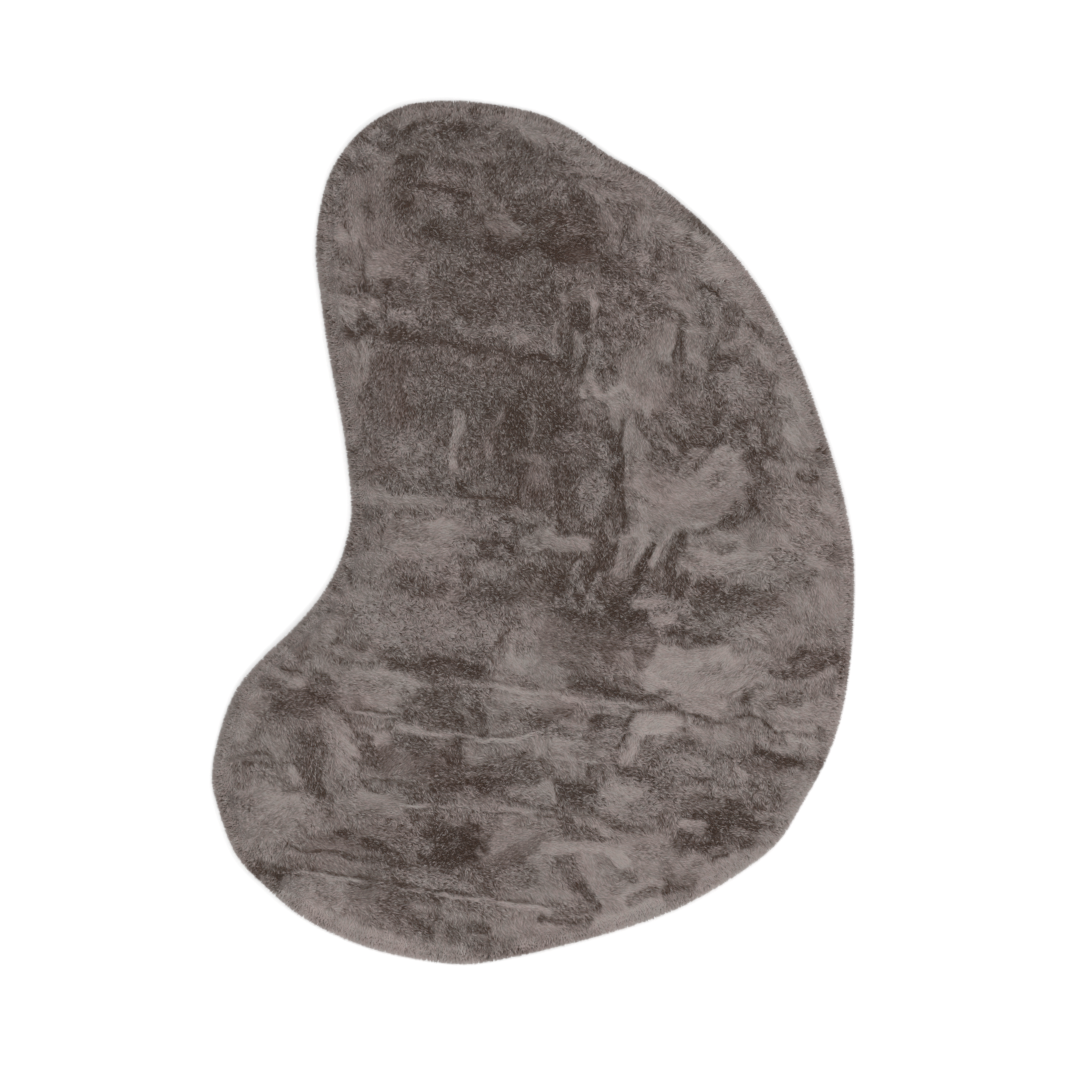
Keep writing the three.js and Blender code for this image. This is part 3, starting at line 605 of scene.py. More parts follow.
    ("line", 480, 679, 560, 689, 3.4, 0.47),
    ("bright", 470, 685, 560, 695, 5, 0.7),
    ("sleek", 486, 700, 556, 704, 13, 0.75),
    ("ridge", 560, 699, 645, 707, 6.5, 0.75),
    ("line", 596, 716, 684, 711, 2.9, 0.68, 2),
    ("bright", 645, 724, 673, 723, 20, 1, 0, 90),
    ("brushed", 642, 734, 628, 760, 13, 0.9),
    ("dusky", 612, 742, 628, 749, 9, 0.6),
    ("line", 682, 712, 704, 720, 3.4, 0.72),
    ("line", 704, 720, 728, 722, 3.4, 0.72),
    ("line", 728, 722, 744, 714, 3.4, 0.68),
    ("line", 744, 714, 758, 717, 3.4, 0.72),
    ("line", 758, 717, 777, 733, 3.4, 0.77),
    ("brushed", 684, 709, 724, 705, 11, 0.8),
    ("brown", 540, 716, 566, 712, 16, 0.6, 0, 30),
    ("standing", 594, 724, 626, 716, 17, 0.8),
    ("feather", 606, 733, 624, 731, 9, 0.8),
    ("line", 630, 732, 620, 750, 3.4, 0.68),
    ("sleek", 566, 727, 588, 728, 12, 0.75),
    ("brushed", 570, 746, 608, 750, 12, 0.6),
    ("granular", 648, 748, 692, 750, 22, 0.6),
    ("standing", 670, 742, 699, 744, 7, 0.5),
    ("sleek", 692, 734, 734, 738, 15, 0.65),
    ("feather", 676, 764, 702, 768, 20, 0.9),
    ("sleek", 568, 750, 574, 772, 10, 0.6),
    ("standing", 750, 751, 776, 758, 12, 0.85),
    ("block", 780, 761, 824, 765, 12, 0.85),
    ("brushed", 774, 748, 794, 747, 8, 0.65),
    ("brushed", 788, 738, 812, 740, 12, 0.8),
    ("dusky", 720, 756, 752, 757, 8, 0.5),
    ("brushed", 764, 706, 832, 714, 28, 0.75),
    ("brown", 742, 769, 778, 768, 13, 0.65),
    ("feather", 738, 768, 743, 788, 11, 0.75),
    ("line", 680, 772, 738, 786, 2.9, 0.59),

    # Bowed and turned touches.
    ("feather", 350, 144, 374, 150, 8, 0.8, 0, 40),
    ("sleek", 408, 110, 470, 106, 10, 0.6, 0, 90),
    ("sleek", 644, 182, 676, 198, 12, 0.8, 0, 70),
    ("standing", 370, 290, 414, 294, 6, 0.7, -9),
    ("sleek", 256, 672, 300, 634, 20, 0.8, 0, -70),
    ("bright", 706, 887, 768, 856, 18, 0.8, 0, -80),
    ("bright", 596, 922, 690, 896, 12, 0.6, 0, -80),
    ("sleek", 250, 680, 296, 636, 14, 0.8, 0, -70),

    # Touches on the upper half.
    ("sleek", 520, 122, 545, 132, 20, 0.75),
    ("sleek", 462, 146, 498, 153, 16, 0.6),
    ("dusky", 474, 114, 486, 128, 14, 0.6),
    ("feather", 556, 178, 560, 194, 14, 0.65),
    ("dusky", 498, 172, 500, 192, 14, 0.7),
    ("sleek", 494, 222, 514, 232, 14, 0.7),
    ("brushed", 328, 230, 342, 236, 14, 0.8),
    ("sleek", 320, 266, 352, 276, 18, 0.8),
    ("brushed", 394, 294, 404, 300, 9, 0.7),
    ("sleek", 352, 306, 380, 308, 9, 0.6),
    ("sleek", 368, 340, 371, 354, 13, 0.6),
    ("sleek", 335, 338, 340, 382, 16, 0.7),
    ("sleek", 350, 388, 356, 410, 20, 0.6),
    ("feather", 412, 378, 418, 396, 16, 0.55),
    ("granular", 384, 242, 410, 246, 9, 0.5),
    ("dusky", 436, 288, 466, 284, 22, 0.5),
    ("dusky", 570, 306, 566, 364, 8, 0.8),
    ("sleek", 580, 336, 581, 350, 9, 0.7),
    ("standing", 567, 392, 568, 408, 11, 0.8),
    ("dusky", 436, 400, 464, 403, 12, 0.5),
    ("standing", 556, 434, 558, 448, 13, 0.7),
    ("dusky", 428, 458, 446, 480, 16, 0.5),
    ("sleek", 352, 488, 378, 494, 18, 0.8),
    ("sleek", 358, 504, 374, 536, 18, 0.6),
    ("sleek", 392, 504, 430, 510, 12, 0.6),
    ("feather", 478, 522, 504, 526, 16, 0.75),
    ("sleek", 606, 302, 618, 314, 16, 0.5),
    ("dusky", 606, 206, 616, 214, 10, 0.6),
    ("sleek", 614, 196, 644, 202, 14, 0.6),
    ("sleek", 641, 202, 644, 226, 16, 0.8),
    ("feather", 628, 246, 640, 266, 16, 0.9),
    ("dusky", 664, 230, 676, 244, 14, 0.5),
    ("sleek", 692, 328, 712, 330, 9, 0.7),
    ("sleek", 716, 264, 746, 278, 20, 0.7),
    ("sleek", 726, 348, 746, 338, 8, 0.6),
    ("sleek", 756, 322, 776, 330, 14, 0.6),
    ("sleek", 770, 368, 788, 376, 12, 0.7),
    ("feather", 728, 396, 746, 416, 14, 0.6),
    ("dusky", 752, 346, 758, 372, 10, 0.5),
    ("dusky", 766, 400, 788, 404, 12, 0.5),
    ("dusky", 612, 368, 616, 382, 12, 0.6),
    ("standing", 616, 430, 618, 442, 10, 0.7),
    ("standing", 617, 450, 621, 508, 9, 0.75),
    ("standing", 716, 398, 716, 436, 6, 0.6),
    ("standing", 724, 436, 698, 466, 8, 0.8),
    ("granular", 764, 486, 806, 508, 34, 0.5),
    ("dusky", 800, 456, 812, 470, 12, 0.5),
    ("feather", 584, 486, 606, 490, 12, 0.6),
    ("dusky", 562, 126, 640, 172, 7, 0.55),
    ("dusky", 640, 172, 735, 248, 7, 0.6),
    ("dusky", 352, 138, 324, 188, 7, 0.55),
    ("sleek", 676, 274, 698, 304, 14, 0.7),
    ("dusky", 482, 186, 496, 212, 11, 0.6),
    ("dusky", 424, 136, 446, 138, 11, 0.7),
    ("feather", 350, 154, 364, 155, 10, 0.7),
    ("sleek", 402, 148, 424, 150, 9, 0.6),
    ("granular", 334, 172, 344, 222, 22, 0.45),
    ("dusky", 428, 194, 456, 200, 9, 0.6),
    ("sleek", 526, 134, 540, 140, 12, 0.7),
    ("sleek", 550, 168, 588, 170, 10, 0.5),
    ("sleek", 648, 186, 662, 196, 12, 0.7),
    ("sleek", 600, 214, 602, 230, 8, 0.7),
    ("feather", 622, 262, 646, 256, 12, 0.7),
    ("brushed", 716, 272, 744, 268, 12, 0.6),
    ("sleek", 762, 306, 772, 330, 12, 0.5),
    ("sleek", 800, 402, 812, 440, 14, 0.5),
    ("sleek", 356, 470, 362, 492, 18, 0.8),
    ("feather", 602, 444, 608, 466, 9, 0.7),
    ("feather", 582, 492, 604, 494, 14, 0.8),
    ("sleek", 608, 524, 612, 540, 9, 0.7),
    ("dusky", 498, 514, 510, 516, 9, 0.6),
    ("dusky", 456, 474, 468, 486, 9, 0.7),
    ("sleek", 376, 156, 390, 158, 10, 0.6),
    ("feather", 370, 134, 386, 136, 10, 0.7),
    ("sleek", 534, 120, 566, 130, 11, 0.6),
    ("brushed", 324, 230, 342, 232, 10, 0.8),
    ("dusky", 444, 280, 454, 292, 14, 0.4),
    ("dusky", 460, 312, 488, 318, 16, 0.4),
    ("standing", 556, 302, 558, 318, 8, 0.6),
    ("brushed", 671, 320, 666, 358, 13, 0.75),
    ("granular", 636, 326, 643, 342, 10, 0.7),
    ("feather", 606, 316, 620, 340, 14, 0.5),
    ("feather", 592, 358, 604, 364, 12, 0.8),
    ("sleek", 694, 358, 708, 364, 11, 0.7),
    ("standing", 716, 366, 727, 368, 8, 0.6),
    ("granular", 622, 396, 626, 412, 12, 0.5),
    ("sleek", 582, 408, 592, 424, 10, 0.6),
    ("sleek", 610, 412, 616, 428, 9, 0.7),
    ("dusky", 628, 455, 633, 520, 8, 0.4),
    ("standing", 749, 488, 751, 500, 11, 0.8),
    ("sleek", 716, 534, 744, 540, 12, 0.6),
    ("sleek", 518, 512, 548, 520, 12, 0.6),
    ("dusky", 578, 458, 592, 468, 14, 0.5),
    ("dusky", 486, 462, 498, 474, 11, 0.5),
    ("brown", 372, 442, 378, 454, 11, 0.6),
    ("sleek", 812, 404, 822, 440, 12, 0.6),
    ("brown", 360, 172, 364, 196, 34, 0.28),
    ("brown", 372, 240, 420, 246, 16, 0.3),
    ("sleek", 484, 200, 506, 230, 22, 0.22),
    ("feather", 386, 299, 406, 300, 9, 0.6),
    ("feather", 392, 315, 410, 314, 8, 0.7),
    ("feather", 328, 188, 342, 200, 9, 0.8),
    ("bright", 326, 232, 346, 236, 8, 0.5),
    ("brushed", 343, 150, 353, 158, 10, 0.7),
    ("dusky", 601, 376, 604, 390, 10, 0.7),
    ("dusky", 468, 440, 490, 412, 14, 0.55),
    ("dusky", 438, 458, 446, 470, 11, 0.6),
    ("dusky", 656, 415, 672, 414, 10, 0.6),
    ("dusky", 683, 405, 689, 418, 8, 0.6),
    ("dusky", 670, 316, 680, 320, 12, 0.6),
    ("granular", 544, 262, 560, 280, 14, 0.6),
    ("sleek", 494, 134, 506, 124, 12, 0.6),
    ("sleek", 440, 150, 480, 164, 8, 0.6),
    ("feather", 412, 326, 428, 330, 9, 0.6),
    ("feather", 524, 351, 560, 352, 9, 0.6),
    ("feather", 604, 448, 614, 460, 11, 0.6),
    ("sleek", 800, 460, 806, 472, 11, 0.6),
    ("sleek", 728, 526, 746, 532, 11, 0.6),
    ("sleek", 628, 268, 646, 258, 11, 0.6),
    ("granular", 634, 462, 740, 462, 14, 0.3),
    ("sleek", 468, 218, 486, 240, 14, 0.35),
    ("dusky", 394, 288, 410, 287, 9, 0.7),
    ("dusky", 484, 190, 490, 212, 12, 0.3),
    ("granular", 716, 484, 740, 482, 12, 0.35),
    ("dusky", 804, 448, 824, 466, 9, 0.6),
    ("granular", 350, 170, 366, 166, 12, 0.5),
    ("dusky", 366, 204, 372, 218, 11, 0.45),
    ("dusky", 426, 124, 448, 118, 9, 0.5),
    ("dusky", 526, 318, 534, 336, 10, 0.4),
    ("dusky", 632, 242, 640, 240, 10, 0.6),
    ("granular", 632, 300, 636, 340, 14, 0.45),
    ("granular", 582, 350, 592, 332, 10, 0.45),
    ("dusky", 362, 298, 366, 300, 8, 0.6),
    ("granular", 706, 384, 712, 410, 12, 0.45),
    ("granular", 650, 296, 660, 284, 14, 0.45),
    ("dusky", 604, 404, 607, 424, 9, 0.4),
    ("granular", 586, 440, 600, 456, 16, 0.45),
    ("sleek", 372, 288, 380, 288, 9, 0.5),
    ("feather", 372, 340, 376, 350, 9, 0.7),
    ("sleek", 328, 228, 340, 230, 9, 0.7),
    ("sleek", 338, 262, 346, 264, 9, 0.6),
    ("sleek", 318, 276, 322, 296, 10, 0.6),
    ("sleek", 416, 136, 430, 138, 9, 0.6),
    ("sleek", 404, 126, 420, 112, 9, 0.6),
    ("feather", 524, 190, 542, 184, 14, 0.45),
    ("sleek", 694, 452, 706, 452, 10, 0.6),
    ("feather", 650, 440, 664, 442, 9, 0.6),
    ("feather", 402, 444, 410, 444, 9, 0.7),
    ("sleek", 804, 446, 812, 446, 9, 0.6),
    ("sleek", 564, 298, 580, 294, 16, 0.6),
    ("sleek", 566, 308, 562, 330, 9, 0.4),
    ("sleek", 398, 188, 420, 200, 14, 0.35),
    ("sleek", 450, 228, 468, 232, 14, 0.35),
    ("sleek", 672, 362, 688, 394, 14, 0.35),
    ("sleek", 606, 478, 618, 520, 12, 0.35),
    ("sleek", 564, 508, 572, 524, 14, 0.35),
    ("sleek", 742, 512, 746, 534, 14, 0.3),
    ("feather", 446, 486, 456, 500, 14, 0.4),
    ("feather", 386, 462, 396, 460, 16, 0.5),
    ("sleek", 520, 262, 516, 292, 14, 0.35),
    ("brown", 650, 480, 730, 500, 80, 0.14),
    ("brown", 656, 516, 700, 512, 22, 0.2),
    ("brown", 716, 506, 742, 492, 14, 0.3),
    ("brown", 766, 508, 786, 526, 16, 0.3),
    ("brown", 626, 320, 640, 380, 44, 0.16),
    ("brown", 652, 342, 668, 336, 14, 0.3),
    ("dusky", 412, 484, 430, 486, 18, 0.3),
    ("brown", 382, 206, 384, 250, 28, 0.25),
    ("dusky", 446, 146, 456, 166, 24, 0.25),
    ("dusky", 350, 140, 384, 112, 12, 0.3),
    ("dusky", 322, 312, 340, 344, 12, 0.35),
    ("dusky", 352, 460, 362, 476, 14, 0.35),
    ("dusky", 684, 208, 718, 240, 12, 0.35),
    ("brown", 746, 376, 800, 384, 20, 0.25),
    ("dusky", 474, 512, 490, 512, 12, 0.3),
    ("dusky", 396, 532, 450, 536, 16, 0.25),
    ("sleek", 736, 396, 756, 404, 12, 0.3),
    ("dusky", 338, 280, 344, 288, 12, 0.4),
    ("sleek", 564, 238, 592, 230, 14, 0.35),
    ("sleek", 610, 250, 620, 268, 10, 0.35),
    ("sleek", 632, 278, 640, 284, 12, 0.4),
    ("sleek", 648, 186, 676, 200, 12, 0.4),
    ("sleek", 776, 338, 784, 346, 12, 0.4),
    ("sleek", 724, 353, 738, 354, 10, 0.4),
    ("sleek", 810, 404, 820, 440, 12, 0.4),
    ("sleek", 318, 268, 324, 300, 12, 0.4),
    ("sleek", 700, 510, 724, 500, 12, 0.3),
    ("sleek", 562, 472, 566, 494, 12, 0.35),
    ("sleek", 590, 484, 600, 496, 14, 0.3),
    ("sleek", 468, 492, 488, 496, 12, 0.3),
    ("dusky", 412, 266, 430, 262, 18, 0.4),
    ("dusky", 466, 334, 480, 326, 16, 0.4),
    ("dusky", 724, 284, 738, 292, 14, 0.45),
    ("dusky", 606, 212, 616, 236, 16, 0.3),
    ("dusky", 624, 178, 644, 212, 12, 0.35),
    ("dusky", 440, 404, 468, 402, 22, 0.35),
    ("dusky", 376, 392, 388, 398, 22, 0.3),
    ("dusky", 382, 426, 388, 432, 12, 0.4),
    ("dusky", 548, 446, 600, 444, 16, 0.3),
    ("dusky", 588, 464, 606, 462, 12, 0.5),
    ("dusky", 586, 392, 594, 408, 12, 0.45),
    ("dusky", 754, 376, 762, 394, 14, 0.4),
    ("granular", 770, 412, 796, 418, 14, 0.3),
    ("dusky", 352, 508, 368, 516, 18, 0.4),
    ("brown", 792, 494, 810, 490, 20, 0.3),
    ("dusky", 768, 518, 784, 522, 18, 0.3),
    ("dusky", 582, 286, 592, 276, 14, 0.35),
    ("dusky", 490, 216, 504, 218, 14, 0.35),
    ("dusky", 438, 208, 454, 206, 12, 0.35),

    ("dusky", 606, 255, 632, 264, 12, 0.5),
    ("dusky", 640, 296, 690, 300, 8, 0.4),
    ("dusky", 590, 318, 589, 350, 9, 0.5),
    ("dusky", 392, 291, 405, 302, 10, 0.5),
    ("dusky", 638, 412, 642, 428, 10, 0.5),
    ("dusky", 476, 506, 494, 511, 10, 0.5),
    ("dusky", 810, 512, 828, 520, 14, 0.4),
    ("dusky", 714, 345, 712, 400, 10, 0.35),
    ("sleek", 728, 280, 744, 290, 13, 0.5),
    ("dusky", 686, 376, 690, 384, 11, 0.5),
    ("dusky", 684, 249, 698, 257, 10, 0.5),
    ("dusky", 645, 266, 668, 269, 10, 0.4),
    ("dusky", 662, 211, 692, 225, 12, 0.4),
    ("dusky", 500, 314, 508, 328, 12, 0.35),
    ("sleek", 506, 243, 556, 220, 12, 0.3),
    ("sleek", 425, 179, 464, 185, 10, 0.35),
    ("dusky", 460, 148, 500, 149, 9, 0.4),
    ("dusky", 562, 149, 580, 152, 9, 0.45),
    ("dusky", 660, 468, 690, 472, 12, 0.35),
    ("dusky", 570, 486, 583, 514, 9, 0.4),
    ("dusky", 728, 512, 742, 500, 9, 0.4),
    ("dusky", 418, 300, 430, 306, 11, 0.4),
    # Touches on the lower half.
    ("sleek", 336, 568, 344, 584, 13, 0.8),
    ("feather", 502, 550, 510, 558, 11, 0.8),
    ("feather", 456, 546, 470, 552, 14, 0.8),
    ("dusky", 508, 594, 544, 599, 20, 0.7),
    ("granular", 508, 620, 524, 646, 22, 0.6),
    ("dusky", 386, 652, 398, 654, 8, 0.7),
    ("dusky", 472, 652, 488, 652, 8, 0.7),
    ("sleek", 324, 646, 372, 658, 13, 0.6),
    ("feather", 362, 624, 392, 636, 18, 0.7),
    ("dusky", 266, 684, 282, 684, 12, 0.8),
    ("brown", 318, 682, 358, 699, 13, 0.75),
    ("dusky", 338, 710, 350, 720, 11, 0.6),
    ("dusky", 402, 702, 408, 716, 12, 0.6),
    ("standing", 358, 735, 368, 741, 8, 0.8),
    ("dusky", 368, 750, 373, 766, 10, 0.7),
    ("granular", 398, 742, 430, 744, 10, 0.6),
    ("granular", 424, 724, 452, 728, 8, 0.5),
    ("dusky", 476, 694, 484, 730, 12, 0.6),
    ("sleek", 222, 752, 228, 784, 18, 0.7),
    ("granular", 232, 806, 250, 808, 24, 0.6),
    ("granular", 302, 782, 312, 830, 14, 0.55),
    ("dusky", 262, 776, 286, 780, 9, 0.5),
    ("sleek", 268, 740, 282, 748, 13, 0.75),
    ("standing", 452, 752, 462, 772, 22, 0.9),
    ("feather", 466, 788, 474, 792, 9, 0.8),
    ("standing", 484, 787, 504, 780, 14, 0.8),
    ("dusky", 506, 780, 528, 778, 18, 0.6),
    ("dusky", 556, 792, 560, 812, 12, 0.6),
    ("dusky", 530, 724, 560, 730, 12, 0.5),
    ("dusky", 590, 742, 608, 746, 10, 0.5),
    ("feather", 610, 738, 618, 740, 10, 0.8),
    ("dusky", 358, 814, 372, 816, 9, 0.6),
    ("sleek", 366, 834, 392, 836, 9, 0.5),
    ("dusky", 486, 880, 496, 894, 12, 0.6),
    ("standing", 350, 884, 396, 887, 8, 0.5),
    ("dusky", 376, 922, 434, 934, 22, 0.6),
    ("brushed", 308, 908, 328, 916, 14, 0.7),
    ("sleek", 478, 937, 488, 940, 9, 0.7),
    ("dusky", 556, 906, 584, 918, 14, 0.5),
    ("dusky", 630, 900, 652, 892, 12, 0.6),
    ("sleek", 640, 868, 690, 877, 12, 0.75),
    ("sleek", 598, 868, 614, 872, 11, 0.6),
    ("feather", 606, 788, 640, 792, 24, 0.9),
    ("sleek", 602, 830, 640, 838, 10, 0.5),
    ("feather", 678, 758, 698, 768, 16, 0.8),
    ("feather", 738, 763, 744, 774, 12, 0.9),
    ("sleek", 748, 738, 750, 751, 9, 0.8),
    ("sleek", 670, 724, 700, 738, 18, 0.8),
    ("sleek", 606, 710, 628, 712, 9, 0.75),
    ("sleek", 660, 806, 720, 806, 12, 0.5),
    ("brushed", 670, 697, 722, 701, 12, 0.8),
    ("sleek", 700, 707, 722, 711, 12, 0.8),
    ("dusky", 758, 692, 764, 718, 12, 0.35),
    ("dusky", 772, 702, 798, 700, 12, 0.6),
    ("sleek", 624, 658, 634, 676, 16, 0.8),
    ("feather", 630, 640, 648, 646, 12, 0.6),
    ("feather", 652, 620, 682, 616, 15, 0.85),
    ("feather", 750, 634, 766, 642, 12, 0.7),
    ("feather", 690, 588, 696, 594, 9, 0.6),
    ("dusky", 694, 600, 704, 618, 12, 0.6),
    ("sleek", 690, 540, 742, 537, 10, 0.5),
    ("dusky", 721, 550, 735, 544, 8, 0.75),
    ("sleek", 738, 544, 766, 546, 10, 0.6),
    ("sleek", 647, 537, 656, 541, 9, 0.8),
    ("feather", 770, 580, 784, 583, 11, 0.8),
    ("granular", 774, 553, 800, 562, 14, 0.55),
    ("granular", 806, 584, 812, 640, 14, 0.4),
    ("granular", 328, 606, 352, 612, 13, 0.6),
    ("dusky", 458, 604, 500, 603, 8, 0.6),
    ("feather", 576, 574, 580, 592, 8, 0.7),
    ("feather", 558, 604, 574, 606, 10, 0.6),
    ("feather", 656, 618, 672, 624, 14, 0.9),
    ("standing", 682, 578, 688, 590, 10, 0.8),
    ("feather", 730, 636, 764, 634, 12, 0.6),
    ("dusky", 404, 672, 432, 680, 10, 0.6),
    ("granular", 440, 676, 484, 696, 18, 0.6),
    ("sleek", 538, 684, 562, 686, 7, 0.6),
    ("sleek", 544, 702, 568, 706, 9, 0.6),
    ("sleek", 456, 706, 468, 722, 12, 0.6),
    ("brushed", 696, 709, 716, 711, 8, 0.7),
    ("brushed", 778, 726, 812, 728, 10, 0.7),
    ("sleek", 812, 750, 824, 742, 12, 0.7),
    ("sleek", 786, 790, 806, 762, 16, 0.6),
    ("sleek", 658, 740, 684, 738, 9, 0.6),
    ("standing", 592, 770, 594, 788, 10, 0.8),
    ("brushed", 606, 792, 636, 794, 14, 0.85),
    ("dusky", 430, 790, 436, 816, 12, 0.6),
    ("dusky", 396, 740, 430, 748, 12, 0.6),
    ("dusky", 430, 730, 452, 732, 7, 0.6),
    ("dusky", 352, 760, 364, 764, 8, 0.6),
    ("sleek", 226, 828, 240, 828, 12, 0.6),
    ("feather", 416, 842, 430, 846, 12, 0.7),
    ("granular", 452, 904, 500, 912, 14, 0.5),
    ("granular", 318, 888, 340, 912, 12, 0.3),
    ("sleek", 438, 928, 444, 944, 13, 0.8),
    ("sleek", 496, 942, 500, 950, 8, 0.7),
    ("granular", 796, 540, 828, 552, 14, 0.45),
    ("dusky", 406, 602, 410, 618, 8, 0.5),
    ("feather", 366, 618, 394, 634, 20, 0.8),
    ("feather", 590, 600, 602, 608, 10, 0.7),
    ("bright", 655, 621, 670, 617, 11, 0.7),
    ("sleek", 746, 628, 764, 642, 14, 0.7),
    ("feather", 598, 656, 608, 674, 11, 0.6),
    ("dusky", 318, 676, 332, 688, 13, 0.8),
    ("dusky", 446, 670, 456, 696, 12, 0.6),
    ("granular", 506, 672, 530, 686, 12, 0.5),
    ("granular", 514, 706, 536, 710, 9, 0.5),
    ("sleek", 622, 688, 640, 692, 9, 0.7),
    ("standing", 624, 722, 630, 734, 8, 0.7),
    ("standing", 542, 762, 548, 774, 9, 0.8),
    ("sleek", 548, 780, 552, 800, 9, 0.8),
    ("dusky", 590, 810, 604, 812, 9, 0.6),
    ("granular", 502, 792, 544, 800, 16, 0.6),
    ("granular", 532, 826, 564, 832, 10, 0.5),
    ("sleek", 322, 776, 330, 790, 9, 0.6),
    ("sleek", 324, 812, 332, 818, 9, 0.6),
    ("feather", 668, 760, 690, 766, 10, 0.7),
    ("brushed", 737, 767, 744, 774, 8, 0.8),
    ("standing", 796, 758, 806, 766, 9, 0.7),
    ("sleek", 686, 828, 700, 830, 8, 0.7),
    ("sleek", 734, 832, 746, 836, 9, 0.6),
    ("sleek", 478, 850, 486, 858, 9, 0.7),
    ("dusky", 434, 588, 442, 589, 9, 0.6),
    ("granular", 486, 608, 530, 630, 14, 0.45),
    ("dusky", 404, 692, 408, 700, 10, 0.6),
    ("granular", 546, 734, 600, 732, 12, 0.5),
    ("granular", 324, 734, 342, 750, 18, 0.45),
    ("dusky", 444, 770, 490, 768, 11, 0.5),
    ("granular", 436, 806, 492, 820, 22, 0.4),
    ("granular", 268, 790, 292, 812, 20, 0.35),
    ("granular", 610, 754, 680, 772, 9, 0.5),
    ("granular", 706, 570, 788, 564, 14, 0.45),
    ("granular", 712, 674, 758, 668, 18, 0.35),
    ("granular", 640, 850, 686, 852, 14, 0.45),
    ("feather", 320, 690, 366, 692, 8, 0.5),
    ("sleek", 448, 602, 458, 590, 10, 0.6),
    ("sleek", 430, 748, 450, 744, 9, 0.6),
    ("sleek", 506, 764, 528, 758, 10, 0.6),
    ("sleek", 592, 784, 596, 770, 8, 0.6),
    ("sleek", 678, 762, 700, 762, 10, 0.6),
    ("feather", 766, 612, 784, 608, 9, 0.6),
    ("bright", 640, 726, 682, 722, 15, 0.7),
    ("bright", 636, 732, 626, 758, 13, 0.35),
    ("line", 684, 712, 684, 734, 3, 0.6),
    ("sleek", 514, 790, 544, 796, 16, 0.35),
    ("dusky", 682, 620, 690, 622, 9, 0.6),
    ("dusky", 660, 692, 666, 693, 8, 0.6),
    ("dusky", 394, 720, 410, 722, 7, 0.6),
    ("granular", 344, 682, 400, 686, 14, 0.5),
    ("dusky", 376, 655, 390, 655, 8, 0.5),
    ("granular", 506, 772, 540, 764, 12, 0.45),
    ("dusky", 420, 750, 432, 752, 9, 0.5),
    ("dusky", 318, 746, 324, 752, 9, 0.5),
    ("dusky", 236, 746, 244, 746, 9, 0.5),
    ("granular", 546, 902, 590, 904, 10, 0.45),
    ("sleek", 640, 708, 660, 709, 7, 0.5),
    ("sleek", 606, 722, 624, 722, 7, 0.5),
    ("sleek", 774, 664, 788, 666, 8, 0.6),
    ("sleek", 724, 724, 742, 724, 9, 0.5),
    ("sleek", 676, 764, 684, 766, 9, 0.5),
    ("sleek", 748, 812, 760, 816, 10, 0.5),
    ("sleek", 250, 706, 264, 704, 11, 0.6),
    ("sleek", 306, 676, 316, 680, 11, 0.6),
    ("sleek", 448, 824, 478, 834, 12, 0.3),
    ("sleek", 264, 876, 274, 878, 9, 0.6),
    ("sleek", 700, 884, 750, 862, 9, 0.6),
    ("sleek", 842, 696, 826, 742, 10, 0.7),
    ("sleek", 812, 764, 790, 816, 10, 0.7),
    ("dusky", 518, 951, 536, 950, 7, 0.7),
    ("sleek", 606, 770, 616, 800, 18, 0.35),
    ("sleek", 246, 690, 262, 770, 70, 0.16),
    ("sleek", 300, 690, 330, 700, 40, 0.15),
    ("sleek", 360, 885, 410, 885, 70, 0.16),
    ("sleek", 350, 686, 390, 686, 24, 0.3),
    ("sleek", 540, 570, 590, 640, 60, 0.14),
    ("sleek", 655, 585, 680, 560, 36, 0.16),
    ("sleek", 740, 640, 770, 600, 60, 0.08),
    ("sleek", 655, 705, 690, 700, 16, 0.3),
    ("sleek", 440, 716, 460, 712, 16, 0.25),
    ("sleek", 348, 636, 392, 620, 16, 0.3),
    ("sleek", 402, 785, 424, 780, 16, 0.3),
    ("sleek", 545, 660, 548, 706, 22, 0.2),
    ("bright", 704, 884, 752, 862, 12, 0.5),
    ("bright", 606, 928, 640, 922, 10, 0.5),
    ("bright", 840, 690, 832, 730, 10, 0.5),
    ("bright", 806, 780, 790, 816, 12, 0.5),
    ("sleek", 224, 752, 246, 754, 12, 0.35),
    ("dusky", 442, 782, 480, 762, 18, 0.3),
    ("dusky", 504, 778, 536, 768, 20, 0.35),
    ("granular", 480, 608, 500, 622, 14, 0.35),
    ("dusky", 632, 544, 624, 572, 14, 0.4),
    ("dusky", 578, 694, 594, 696, 12, 0.3),
    ("brown", 664, 662, 700, 654, 16, 0.25),
    ("dusky", 816, 622, 828, 642, 16, 0.3),
    ("dusky", 782, 628, 794, 618, 12, 0.35),
    ("dusky", 664, 868, 672, 884, 14, 0.35),
    ("dusky", 670, 900, 688, 896, 10, 0.3),
    ("dusky", 776, 712, 786, 720, 14, 0.3),
    ("dusky", 344, 788, 348, 806, 12, 0.35),
    ("dusky", 324, 628, 340, 612, 16, 0.25),
    ("dusky", 306, 658, 318, 646, 14, 0.3),
    ("sleek", 608, 590, 622, 586, 18, 0.35),
    ("sleek", 690, 592, 696, 598, 12, 0.4),
    ("sleek", 482, 552, 490, 548, 10, 0.35),
    ("sleek", 440, 566, 452, 572, 12, 0.35),
    ("sleek", 474, 590, 500, 588, 10, 0.3),
    ("sleek", 546, 762, 548, 768, 10, 0.5),
    ("sleek", 470, 800, 488, 802, 14, 0.3),
    ("sleek", 838, 650, 846, 652, 10, 0.4),
    ("sleek", 802, 670, 814, 672, 10, 0.4),
    ("sleek", 620, 830, 640, 832, 10, 0.4),
    ("sleek", 574, 836, 580, 832, 10, 0.4),
    ("sleek", 670, 852, 680, 842, 12, 0.4),
    ("sleek", 704, 886, 746, 862, 8, 0.5),
    ("sleek", 444, 748, 452, 754, 10, 0.3),
    ("sleek", 652, 790, 662, 792, 10, 0.4),
    ("dusky", 476, 656, 482, 646, 12, 0.45),
    ("dusky", 312, 676, 326, 686, 12, 0.45),
